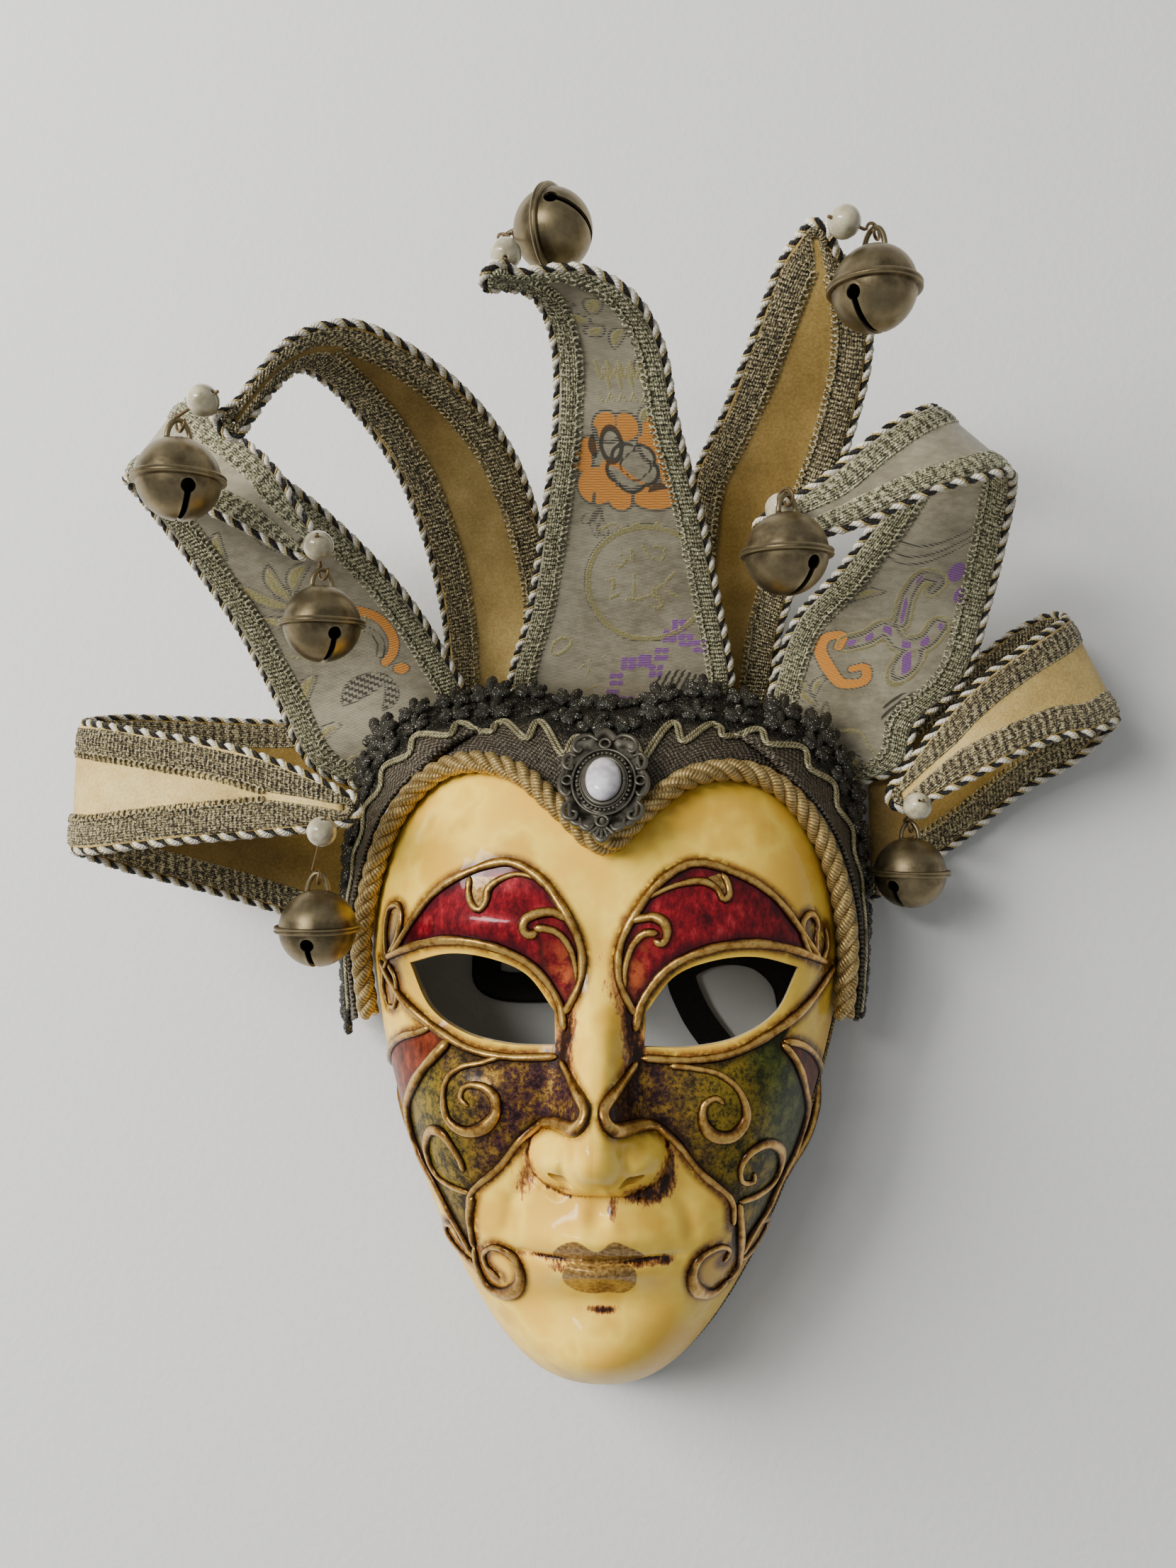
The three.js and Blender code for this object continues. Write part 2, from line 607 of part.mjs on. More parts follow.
function bellProfile(radius, flange) {
  const arc = (from, to) => [0, 1, 2].map((i) => {
    const angle = radians(from + (i / 2) * (to - from));
    return new THREE.Vector2(radius * Math.cos(angle), radius * Math.sin(angle));
  });
  const rise = BELL.flangeHeight / 2;
  const ring = flange ? [[radius, -rise], [flange, -rise], [flange, rise], [radius, rise]] : [[radius, 0]];
  const profile = [...arc(-90, -28), ...ring.map(([x, y]) => new THREE.Vector2(x, y)), ...arc(28, 90)];
  profile[0].x = 0;
  profile[profile.length - 1].x = 0;
  return profile;
}

function buildBell(name, bell) {
  const toLathe = (profile, segments) => {
    return toSolid(new THREE.LatheGeometry(profile, segments).rotateX(Math.PI / 2));
  };
  const { radius, wall, slot, slotEnd, slotRise } = BELL;
  const endX = radius * Math.cos(radians(slotRise));
  const endZ = radius * Math.sin(radians(slotRise));
  const slit = new THREE.BoxGeometry(2 * endX, slot, radius + 2).translate(0, 0, endZ - radius / 2 - 1);
  const hole = new THREE.CylinderGeometry(slotEnd, slotEnd, 8, 6).rotateZ(Math.PI / 2);
  const loop = new THREE.EllipseCurve(0, 0, SHANK.halfWidth, SHANK.height - SHANK.wire / 2, 0, Math.PI);
  const wire = curveThrough([0, 0.2, 0.5, 0.8, 1].map((share) => {
    const { x, y } = loop.getPoint(share);
    return new THREE.Vector3(0, x, radius - 0.8 + y);
  }));
  let body = toLathe(bellProfile(radius, BELL.flange), 9);
  body = body.subtract(toLathe(bellProfile(radius - wall, 0), 7)).subtract(toSolid(slit));
  for (const side of [-1, 1]) {
    const end = hole.clone().rotateY(radians(side * slotRise)).translate(side * endX, 0, endZ);
    body = body.subtract(toSolid(end));
  }
  body = body.add(toSolid(roundBar(wire, 4, SHANK.wire / 2, 4)));
  const geometry = toGeometry(body).applyMatrix4(bellBasis(bell)).translate(...bell.centre);
  addPiece(`${name}_bell`, geometry, 'antiqueBrass');
}

// The pearl at the tip, and the wire that runs from it through the bell's shank.
function buildPearlAndLink(name, { bell, pearl }) {
  const centre = new THREE.Vector3(...pearl);
  addPiece(`${name}_pearl`, new THREE.SphereGeometry(PEARL_RADIUS, 7, 4).translate(...pearl), 'pearl');
  const basis = bellBasis(bell);
  const inShank = (x) => new THREE.Vector3(x, 0, BELL.radius + SHANK.height - 4).applyMatrix4(basis)
    .add(new THREE.Vector3(...bell.centre));
  const near = inShank(3).distanceTo(centre) < inShank(-3).distanceTo(centre) ? 1 : -1;
  const entry = inShank(3 * near);
  const start = entry.clone().sub(centre).setLength(PEARL_RADIUS + CLEARANCE).add(centre);
  const curve = curveThrough([start, entry, inShank(-2 * near)]);
  addPiece(`${name}_link`, roundBar(curve, 4, LINK_WIRE / 2, 3), 'bronzeWire');
}

buildFaceShell();
buildRope();
buildLace();
buildWavyCord();
buildRimBraid();
buildBrooch();
buildRibbons();
for (const [place, spec] of Object.entries(RAYS)) {
  const ray = new Ray(spec);
  buildCard(place, ray, spec.cloth);
  buildBraid(place, ray);
  buildEdgeCord(place, ray);
  buildBell(place, spec.bell);
  buildPearlAndLink(place, spec);
}

export default model;
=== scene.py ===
"""Looks of a Venetian jester mask: painted face, rope, lace, brooch and seven belled rays.

Lengths are millimetres in the layout of the mask's own source: x = 0 is the face's axis,
y = 0 lies midway between the brows and z = 0 is the plane of the shell's rim. A MeshDraft
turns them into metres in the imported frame.
"""

from __future__ import annotations

import functools
import json
import logging
import math
from dataclasses import dataclass, field
from enum import Enum
from typing import Callable, Iterable, Sequence, Union

import bmesh
import bpy
import numpy as np
from mathutils import Matrix, Vector

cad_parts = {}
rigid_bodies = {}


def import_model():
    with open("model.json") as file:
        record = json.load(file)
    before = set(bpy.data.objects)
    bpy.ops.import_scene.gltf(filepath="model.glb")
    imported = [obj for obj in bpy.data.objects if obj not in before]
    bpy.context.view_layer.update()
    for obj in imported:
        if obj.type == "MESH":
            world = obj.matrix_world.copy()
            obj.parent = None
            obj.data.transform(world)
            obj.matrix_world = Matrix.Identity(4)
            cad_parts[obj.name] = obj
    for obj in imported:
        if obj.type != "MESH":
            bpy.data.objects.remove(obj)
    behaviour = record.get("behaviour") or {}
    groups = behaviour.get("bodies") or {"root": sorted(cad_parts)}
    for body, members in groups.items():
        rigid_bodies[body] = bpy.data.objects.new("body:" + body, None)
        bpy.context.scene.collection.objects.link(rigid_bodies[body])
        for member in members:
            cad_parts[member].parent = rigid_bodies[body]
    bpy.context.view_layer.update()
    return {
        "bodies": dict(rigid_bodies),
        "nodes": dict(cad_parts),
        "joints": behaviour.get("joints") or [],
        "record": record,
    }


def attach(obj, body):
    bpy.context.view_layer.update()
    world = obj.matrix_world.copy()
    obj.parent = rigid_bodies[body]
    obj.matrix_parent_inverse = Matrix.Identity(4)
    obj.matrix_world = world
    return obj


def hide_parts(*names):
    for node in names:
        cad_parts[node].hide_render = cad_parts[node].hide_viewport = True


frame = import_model()

Array = np.ndarray
Value = Union["Sock", float, int, tuple, str]
Flat = tuple[float, float]
Point = tuple[float, float, float]
Route = tuple[Flat, ...]
Piece = bpy.types.Object

LOG = logging.getLogger("jester_mask")
BODY = "root"
FOOTPRINT_MIDDLE = np.array([-2.6, 55.0, 0.0])
MM_PER_M = 1000
TURN = 2 * math.pi
LACE_RIB = 1.9


def colour(hexcode: str) -> tuple[float, float, float, float]:
    """Linear colour of a screen colour.

    Args:
        hexcode: Six hexadecimal digits, red first.

    Returns:
        Linear red, green and blue, and an alpha of 1.
    """
    parts = [int(hexcode[i : i + 2], 16) / 255 for i in (0, 2, 4)]
    linear = [p / 12.92 if p <= 0.04045 else ((p + 0.055) / 1.055) ** 2.4 for p in parts]
    return (linear[0], linear[1], linear[2], 1.0)


def smoothstep(value: Array, low: float, high: float) -> Array:
    """Smooth rise from 0 at low to 1 at high."""
    share = np.clip((value - low) / (high - low), 0, 1)
    return share * share * (3 - 2 * share)


def unit(vectors: Array) -> Array:
    """Vectors of an array's last axis, scaled to length 1."""
    return vectors / np.maximum(np.linalg.norm(vectors, axis=-1, keepdims=True), 1e-9)


def turns(count: int) -> Array:
    """Angles of a full turn in even steps, its end left out."""
    return np.arange(count) / count * TURN


def oval(
    angles: Array,
    wide: Array | float,
    high: Array | float,
    lift: float = 0.0,
    middle: Flat = (0, 0),
) -> Array:
    """Points of a flat oval by its half sizes, at a height."""
    x, y = middle[0] + wide * np.cos(angles), middle[1] + high * np.sin(angles)
    return np.stack([x, y, np.full_like(angles, lift)], -1)


def union(*insides: Array) -> Array:
    """Distance inside whichever figure a point lies deepest in."""
    return np.maximum.reduce(insides)


# Node trees


class Sock:
    """A node's output that takes part in Python expressions."""

    def __init__(self, book: "NodeBook", socket: bpy.types.NodeSocket) -> None:
        """Keeps the socket and the book that its nodes are added to."""
        self.book = book
        self.socket = socket

    def _maths(self, operation: str, first: Value, second: Value = 0.0) -> "Sock":
        """One Math node on two values."""
        return self.book.node("ShaderNodeMath", {"operation": operation}, {0: first, 1: second})

    def __add__(self, other: Value) -> "Sock":
        """Sum."""
        return self._maths("ADD", self, other)

    def __sub__(self, other: Value) -> "Sock":
        """Difference."""
        return self._maths("SUBTRACT", self, other)

    def __rsub__(self, other: Value) -> "Sock":
        """Difference from a number on the left."""
        return self._maths("SUBTRACT", other, self)

    def __radd__(self, other: Value) -> "Sock":
        """Sum with a number on the left."""
        return self._maths("ADD", other, self)

    def __mul__(self, other: Value) -> "Sock":
        """Product."""
        return self._maths("MULTIPLY", self, other)

    def __truediv__(self, other: Value) -> "Sock":
        """Quotient."""
        return self._maths("DIVIDE", self, other)

    def sine(self) -> "Sock":
        """Sine of a value in radians."""
        return self._maths("SINE", self)

    def cosine(self) -> "Sock":
        """Cosine of a value in radians."""
        return self._maths("COSINE", self)

    def wave(self) -> "Sock":
        """Sine brought between 0 and 1."""
        return self.sine() * 0.5 + 0.5

    def larger(self, other: Value) -> "Sock":
        """The larger of two values."""
        return self._maths("MAXIMUM", self, other)

    def ramp(self, low: float, high: float, start: float = 0.0, end: float = 1.0) -> "Sock":
        """Smooth passage from start to end while the value goes from low to high."""
        limits = {"Value": self, "From Min": low, "From Max": high, "To Min": start, "To Max": end}
        return self.book.node("ShaderNodeMapRange", {"interpolation_type": "SMOOTHSTEP"}, limits)


class NodeBook:
    """Adds nodes to one tree, a shader's or a geometry tree's."""

    def __init__(self, tree: bpy.types.NodeTree) -> None:
        """Keeps the tree and empties it."""
        self.tree = tree
        tree.nodes.clear()

    def node(
        self,
        kind: str,
        settings: dict | None = None,
        inputs: dict | None = None,
        output: int | str = 0,
    ) -> "Sock | None":
        """Adds one node.

        Args:
            kind: The node's type.
            settings: Its properties, set first; "stops" sets a colour ramp.
            inputs: Values or links by socket name or index.
            output: The output that is wanted.

        Returns:
            That output, or None where the node has none.
        """
        made = self.tree.nodes.new(kind)
        for key, value in (settings or {}).items():
            if key == "stops":
                self._set_stops(made.color_ramp, value)
            else:
                setattr(made, key, value)
        for key, value in (inputs or {}).items():
            for one in value if isinstance(value, list) else [value]:
                self.plug(made.inputs[key], one)
        return Sock(self, made.outputs[output]) if made.outputs else None

    def plug(self, socket: bpy.types.NodeSocket, value: Value) -> None:
        """Links a Sock to a socket, or sets the socket's own value."""
        if isinstance(value, Sock):
            self.tree.links.new(value.socket, socket)
        else:
            socket.default_value = value

    @staticmethod
    def _set_stops(ramp: bpy.types.ColorRamp, stops: Sequence[tuple]) -> None:
        """Gives a ramp its stops of (position, colour)."""
        while len(ramp.elements) < len(stops):
            ramp.elements.new(0.5)
        for element, (position, tint) in zip(ramp.elements, stops):
            element.position = position
            element.color = tint

    def place(self, scale: Point = (1, 1, 1)) -> Sock:
        """Object coordinates, stretched."""
        where = self.node("ShaderNodeTexCoord", output="Object")
        return self.node("ShaderNodeMapping", inputs={"Vector": where, "Scale": scale})

    def noise(
        self, size: float, detail: float = 3.0, rough: float = 0.55, at: Sock | None = None
    ) -> Sock:
        """Noise whose features are about size millimetres across."""
        inputs = {"Vector": at or self.place(), "Scale": MM_PER_M / size}
        inputs |= {"Detail": detail, "Roughness": rough}
        return self.node("ShaderNodeTexNoise", inputs=inputs)

    def grains(self, size: float) -> Sock:
        """Distance from the middle of cells of about size millimetres."""
        inputs = {"Vector": self.place(), "Scale": MM_PER_M / size}
        return self.node("ShaderNodeTexVoronoi", {"feature": "F1"}, inputs, "Distance")

    def attribute(self, name: str) -> Sock:
        """A number that the mesh carries at its points."""
        return self.node("ShaderNodeAttribute", {"attribute_name": name}, output="Fac")

    def mix(self, share: Value, first: Value, second: Value) -> Sock:
        """Blend of two colours."""
        settings = {"data_type": "RGBA", "clamp_factor": True}
        return self.node("ShaderNodeMix", settings, {0: share, 6: first, 7: second}, 2)

    def tones(self, share: Value, *tints: str) -> Sock:
        """Colour ramp with evenly spaced screen colours."""
        stops = [(i / (len(tints) - 1), colour(tint)) for i, tint in enumerate(tints)]
        return self.node("ShaderNodeValToRGB", {"stops": stops}, {"Fac": share})

    def bump(self, height: Value, depth: float, strength: float = 1.0) -> Sock:
        """Normal of a relief that is depth millimetres deep."""
        inputs = {"Height": height, "Distance": depth / MM_PER_M, "Strength": strength}
        return self.node("ShaderNodeBump", inputs=inputs)


# Finishes


@dataclass(frozen=True)
class Finish:
    """A surface finish: one material, made when it is first wanted.

    Attributes:
        name: The material's name.
        slot: The record's material slot that it belongs to; not used.
    """

    name: str
    slot: str

    def dress(self, book: NodeBook) -> dict[str, Value]:
        """Inputs of the surface shader, by socket name."""
        raise NotImplementedError

    def material(self) -> bpy.types.Material:
        """The finish's material."""
        known = bpy.data.materials.get(self.name)
        if known:
            return known
        made = bpy.data.materials.new(self.name)
        made.use_nodes = True
        book = NodeBook(made.node_tree)
        surface = book.node("ShaderNodeBsdfPrincipled", inputs=self.dress(book))
        book.node("ShaderNodeOutputMaterial", inputs={"Surface": surface})
        return made


@dataclass(frozen=True)
class PaintedLacquer(Finish):
    """Aged ivory varnish with painted fields, brown patina and painted shade in the face's
    hollows. It reads the distances in millimetres that the face carries: inside each field,
    from a gold line and so on."""

    def dress(self, book: NodeBook) -> dict[str, Value]:
        """The shader's inputs."""
        cloud = book.noise(26, 3)
        mottle = book.noise(5, 6, 0.65)
        fine = book.noise(1.3, 5, 0.7)
        streaks = book.noise(7, 6, 0.72, book.place((1.9, 1.0, 1.0)))
        cheek_field, red_field, drop_field, gilt_field = map(
            book.attribute, ("cheek", "red", "drop", "gilt")
        )
        tint = book.tones(cloud.ramp(0.35, 0.68), "E2B23E", "EEC84C", "D2A434")
        tint = book.mix(mottle.ramp(0.62, 0.78) * 0.35, tint, colour("A98A4C"))
        tint = self._with_patina_and_shade(book, tint, mottle, fine)

        drop = book.tones(streaks.ramp(0.3, 0.7), "35120A", "5E2410", "80381C")
        drop = book.mix(drop_field.ramp(2.6, 0.3) * 0.7, drop, colour("35140E"))
        gilt = book.tones(fine.ramp(0.3, 0.7), "5E421C", "8C6A34", "B08C50")
        for field_depth, paint in (
            (cheek_field, self._cheek_paint(book, cheek_field, cloud, mottle, fine)),
            (red_field, self._red_paint(book, red_field, streaks, mottle)),
            (drop_field, drop),
            (gilt_field, gilt),
        ):
            tint = book.mix(field_depth.ramp(-0.25, 0.25), tint, paint)
        foil = gilt_field.ramp(0, 0.4) * 0.35
        foil = foil.larger(red_field.ramp(0, 0.5) * 0.25)
        foil = foil.larger(cheek_field.ramp(0, 0.5) * mottle.ramp(0.4, 0.62) * 0.55)
        turned = book.node("ShaderNodeLayerWeight", inputs={"Blend": 0.5}, output="Facing")
        painted = cheek_field.larger(drop_field).ramp(0, 0.5)
        bare = book.attribute("inside")
        rough = {0: bare, 2: mottle * 0.16 + 0.2, 3: 0.8}
        return {
            "Base Color": book.mix(bare, tint, book.tones(mottle, "B9AF96", "CFC6AE")),
            "Roughness": book.node("ShaderNodeMix", {"data_type": "FLOAT"}, rough),
            "Metallic": foil * (1 - bare),
            "Coat Weight": (1 - bare) * (1 - painted * 0.8) * turned.ramp(0.92, 0.5) * 0.42,
            "Coat Roughness": 0.05,
            "Specular IOR Level": 0.12,
            "Normal": book.bump(fine * 0.35 + mottle * 0.65, 0.22, 0.5),
        }

    @staticmethod
    def _with_patina_and_shade(book: NodeBook, tint: Sock, mottle: Sock, fine: Sock) -> Sock:
        """Brown patina beside the gold lines, and brown patina with painted shade in the face's hollows.
        """
        beside = book.attribute("line").ramp(4.3, 1.5) * mottle.ramp(0.26, 0.5)
        tint = book.mix(beside, tint, book.tones(fine.ramp(0.3, 0.7), "3A1C06", "8E5C22"))
        # Brown patina with painted shade in the hollows: real patina drips, and painted shade under the
        # nose, round its wings, along the mouth and in the creases.
        drips = book.noise(4.5, 6, 0.75, book.place((3.2, 1.0, 1.0)))
        grime = book.attribute("grime")
        ragged = (drips - 0.5) * 1.7 + (fine - 0.5) * 0.6
        spots = grime + ragged * grime.ramp(0.02, 0.3)
        patina_and_shade_tint = book.tones(spots.ramp(0.35, 1.15), "B88446", "7A4A20", "34190A", "1E0E06")
        return book.mix(spots.ramp(0.32, 0.55), tint, patina_and_shade_tint)

    @staticmethod
    def _red_paint(book: NodeBook, inside: Sock, streaks: Sock, mottle: Sock) -> Sock:
        """Crimson over the eyes, orange near the nose and dark along the gold."""
        red = book.tones(streaks.ramp(0.3, 0.72), "34060B", "600B14", "80121C", "9C3034")
        red = book.mix(book.attribute("ember") * mottle.ramp(0.4, 0.6), red, colour("B0562E"))
        return book.mix(inside.ramp(5.0, 0.8) * 0.85, red, colour("2A0A12"))

    @staticmethod
    def _cheek_paint(
        book: NodeBook, inside: Sock, cloud: Sock, mottle: Sock, fine: Sock
    ) -> Sock:
        """Dappled brown and gold that turns olive and then teal towards the jaw."""
        dapple = mottle * 0.55 + fine * 0.45
        brown = book.tones(dapple.ramp(0.4, 0.62), "1E1114", "3E2628", "5E4020", "A07C3A")
        olive = book.tones(dapple.ramp(0.38, 0.62), "241E0A", "4A4014", "74621E", "947A2C")
        teal = book.tones(dapple.ramp(0.36, 0.64), "1E2A0E", "37461E", "54622E")
        outward = book.attribute("outward") + (cloud - 0.5) * 0.5
        cheek = book.mix(outward.ramp(0.35, 0.7), brown, olive)
        cheek = book.mix(outward.ramp(0.85, 1.05) * 0.8, cheek, teal)
        cheek = book.mix(fine.ramp(0.56, 0.66) * 0.6, cheek, colour("1E130E"))
        return book.mix(inside.ramp(4.4, 0.6) * 0.8, cheek, colour("1E110A"))


@dataclass(frozen=True)
class GildedPaste(Finish):
    """Antique gold over a piped line: a painted highlight along its crest, painted shade low on
    its sides where it meets the face, and patches of dark dust.
    """

    def dress(self, book: NodeBook) -> dict[str, Value]:
        """The shader's inputs."""
        worn = book.noise(3.2, 5, 0.65)
        fine = book.noise(0.9, 4)
        height = book.attribute("height")
        # Painted light: lighter towards the line's crest, with real wear.
        painted_crest_light = (height + (worn - 0.5) * 0.6).ramp(0.62, 1.08)
        tint = book.tones(painted_crest_light, "341C08", "744A1C", "B08036", "E2BA68")
        # Painted shade low on the line's sides, and dark dust in patches.
        dust = height.ramp(0.62, 0.34).larger(worn.ramp(0.6, 0.7) * 0.6)
        tint = book.mix(dust, tint, colour("241206"))
        return {
            "Base Color": tint,
            "Metallic": 0.85,
            "Roughness": fine * 0.22 + 0.2,
            "Coat Weight": 0.35,
            "Coat Roughness": 0.12,
            "Normal": book.bump(worn * 0.7 + fine * 0.3, 0.3, 0.6),
        }


@dataclass(frozen=True)
class WoundCord(Finish):
    """Threads wound round the strands of a twisted cord, with painted light on each thread.

    Attributes:
        tints: A shaded and a lit screen colour by strand, in the order of the strand's tone.
        shine: How metallic the threads are.
        thread: Distance from thread to thread, in millimetres.
    """

    tints: tuple[tuple[str, str], ...] = (("8A6A32", "D9BE86"),)
    shine: float = 0.7
    thread: float = 0.5

    def dress(self, book: NodeBook) -> dict[str, Value]:
        """The shader's inputs."""
        along = book.attribute("along") * (TURN * MM_PER_M / self.thread)
        lean = book.attribute("around") * (TURN * 3)
        ribs = (along + lean).wave()
        patch = book.noise(2.4, 4, 0.7)
        tone = book.attribute("tone")
        tint = None
        for index, (dark, light) in enumerate(self.tints):
            # Painted light: each thread lighter on its crest and darker where it meets the next, over real
            # patches of tone.
            strand = book.tones(ribs * 0.6 + patch.ramp(0.35, 0.7) * 0.5, dark, light)
            step = tone.ramp(index - 0.6, index - 0.4)
            tint = strand if tint is None else book.mix(step, tint, strand)
        return {
            "Base Color": tint,
            "Metallic": self.shine,
            "Roughness": patch * 0.3 + 0.28,
            "Normal": book.bump(ribs * 0.8 + patch * 0.4, 0.25, 0.8),
        }


@dataclass(frozen=True)
class Gimp(Finish):
    """Narrow braid of dark and metal threads that lie across it in beaded rows, with painted light on its
    rows and beads.

    Attributes:
        dark: Screen colour of the dark thread and of the painted shade between rows.
        middle: Screen colour of the cotton thread.
        bright: Screen colour of the metal thread and of its painted highlights and glints.
        row: Distance from row to row along the braid, in millimetres.
        bead: Distance from bead to bead across it.
    """

    dark: str = "1E1A13"
    middle: str = "7A7258"
    bright: str = "D8CFA4"
    row: float = 1.5
    bead: float = 0.85

    def dress(self, book: NodeBook) -> dict[str, Value]:
        """The shader's inputs."""
        along = book.attribute("along") * (TURN / self.row)
        edge = book.attribute("across")
        stray = book.noise(2.6, 3, 0.7)
        speck = book.noise(1.0, 2, 0.8).ramp(0.4, 0.6)
        rows = (along - math.pi / 2 + stray * 2.4).wave()
        beads = (edge * (TURN / self.bead) + stray * 6).wave()
        spark = book.grains(0.8).ramp(0.6, 0.15)
        # Painted light: lighter on the crests of the rows and beads, with painted glints, darker in the
        # gaps between rows; the speckle is real thread.
        lit = rows * 0.25 + beads * 0.2 + spark * 0.3 + speck * 0.45
        tint = book.tones(lit.ramp(0.2, 0.95), self.dark, self.middle, self.bright)
        tint = book.mix(edge.ramp(1.5, 0.6) * speck * 0.6, tint, colour(self.bright))
        return {
            "Base Color": tint,
            "Metallic": lit.ramp(0.3, 0.8) * 0.7,
            "Roughness": stray * 0.3 + 0.28,
            "Normal": book.bump(rows * 0.5 + beads * 0.5 + spark * 0.4, 0.4, 0.9),
        }


@dataclass(frozen=True)
class Velvet(Finish):
    """Crushed old-gold velvet, with a paler, lit copy of its colour painted where a ray catches the light.
    """

    def dress(self, book: NodeBook) -> dict[str, Value]:
        """The shader's inputs."""
        pile = book.noise(0.9, 6, 0.75)
        crushed = book.noise(26, 3, 0.55)
        tone = (crushed * 0.5 + pile * 0.5).ramp(0.3, 0.72)
        tint = book.tones(tone, "5E4716", "7E6328", "9C8044")
        # Painted light: a paler copy of the velvet's colour, laid on as far as the ray's value says.
        light = book.tones(tone, "9C8248", "C6AB6A", "E2CC90")
        tint = book.mix(book.attribute("brushed"), tint, light)
        return {
            "Base Color": tint,
            "Roughness": 0.75,
            "Sheen Weight": 0.45,
            "Sheen Roughness": 0.35,
            "Sheen Tint": colour("E8D4A0"),
            "Normal": book.bump(pile * 0.5 + crushed * 0.8, 0.5, 0.6),
        }


@dataclass(frozen=True)
class Brocade(Finish):
    """Silver-grey brocade. Its flowers, florets, outlines and leaves are woven where the
    cloth's own values, in millimetres inside each figure, say so.

    Attributes:
        weft: Distance from weft thread to weft thread.
        satin: Distance from row to row of the threads that float on a figure.
    """

    weft: float = 0.55
    satin: float = 0.9

    def dress(self, book: NodeBook) -> dict[str, Value]:
        """The shader's inputs."""
        along = book.attribute("along")
        weft = (along * (TURN / self.weft) + book.attribute("across") * 1.2).wave()
        floats = (along * (TURN / self.satin)).wave()
        slub = book.noise(3.2, 5, 0.7, book.place((0.7, 1.5, 1.0)))
        sheen = book.noise(30, 2)
        fine = book.noise(0.8, 3, 0.7)
        woven = floats * 0.5 + fine * 0.5
        # Painted sheen: broad lighter and darker patches over the cloth, with the yarn's real slub.
        sheen_and_slub = (sheen * 0.6 + slub * 0.5).ramp(0.3, 0.75)
        tint = book.tones(sheen_and_slub, "665E48", "857D66", "A39A82")
        tint = book.mix(weft * 0.25, tint, colour("6F6B5E"))
        shadow = book.attribute("shadow").ramp(-0.2, 0.3)
        tint = book.mix(shadow * floats.ramp(0.2, 0.6), tint, colour("3A382F"))
        orange = book.attribute("orange").ramp(-0.15, 0.15)
        tint = book.mix(orange, tint, book.tones(woven, "A86A26", "D9923E"))
        purple = book.attribute("purple").ramp(-0.15, 0.15)
        tint = book.mix(purple, tint, book.tones(woven, "5C3A6A", "96659E"))
        dark = book.attribute("dark").ramp(-0.2, 0.15)
        tint = book.mix(dark * 0.9, tint, colour("2B281F"))
        lurex = book.attribute("lurex").ramp(-0.25, 0.15) * fine.ramp(0.36, 0.5)
        tint = book.mix(lurex, tint, book.tones(fine, "8F8140", "E6DC9E"))
        thread = weft * 0.3 + slub * 0.3 + orange * floats * 0.4 + purple * floats * 0.4
        return {
            "Base Color": tint,
            "Metallic": lurex * 0.8 + 0.12,
            "Roughness": slub * 0.25 + 0.36,
            "Sheen Weight": 0.25,
            "Normal": book.bump(thread + lurex * 0.6, 0.3, 0.7),
        }


@dataclass(frozen=True)
class KnitLace(Finish):
    """Dark metallic lace: a knitted ground with black and silver beaded threads.

    Attributes:
        dark: Screen colour of the dark thread.
        light: Screen colour of the lit metal thread.
        row: Distance from stitch to stitch, in millimetres.
        ground: Whether it has the plain knitted ground inside its fringe.
    """

    dark: str = "15130F"
    light: str = "B9B39F"
    row: float = 1.6
    ground: bool = True

    def dress(self, book: NodeBook) -> dict[str, Value]:
        """The shader's inputs."""
        along = book.attribute("along") * (TURN / self.row)
        across = book.attribute("across") * (TURN / LACE_RIB)
        purl = (across + along.sine() * 1.4).wave()
        grain = book.grains(0.9).ramp(0.6, 0.1)
        patch = book.noise(2.6, 5, 0.75)
        worn = patch.ramp(0.35, 0.7)
        ground = book.tones(purl * 0.75 + worn * 0.35, "14110D", "423A2F", "766D5C")
        share = grain * 0.6 + worn * 0.4
        knots = book.tones(share.ramp(0.25, 0.95), self.dark, "3A372E", self.light)
        fringe = book.attribute("fringe").ramp(0.4, 0.5) if self.ground else 1.0
        return {
            "Base Color": book.mix(fringe, ground, knots),
            "Metallic": grain * 0.5 + 0.15,
            "Roughness": patch * 0.3 + 0.3,
            "Normal": book.bump(purl * 0.5 + grain * 0.6, 0.5, 1.0),
        }


@dataclass(frozen=True)
class AgedMetal(Finish):
    """Metal with a patina that stays in its hollows.

    Attributes:
        shade: Screen colour of the patina.
        body: Screen colour of the metal.
        lit: Screen colour where it is rubbed bright.
        gloss: Least roughness.
    """

    shade: str = "2E2618"
    body: str = "6E5F42"
    lit: str = "C7AE7A"
    gloss: float = 0.24

    def dress(self, book: NodeBook) -> dict[str, Value]:
        """The shader's inputs."""
        cloud = book.noise(7, 5, 0.6)
        fine = book.noise(0.9, 5, 0.7)
        edge = book.node("ShaderNodeNewGeometry", output="Pointiness").ramp(0.49, 0.54)
        tint = book.tones(cloud.ramp(0.3, 0.72), self.shade, self.body, self.lit)
        tint = book.mix(edge * 0.6, book.mix(0.35, tint, colour(self.body)), colour(self.lit))
        tint = book.mix(fine.ramp(0.6, 0.75) * 0.6, tint, colour(self.shade))
        return {
            "Base Color": tint,
            "Metallic": 0.95,
            "Roughness": cloud * 0.25 + fine * 0.12 + self.gloss,
            "Normal": book.bump(fine * 0.6 + cloud * 0.3, 0.08, 0.5),
        }


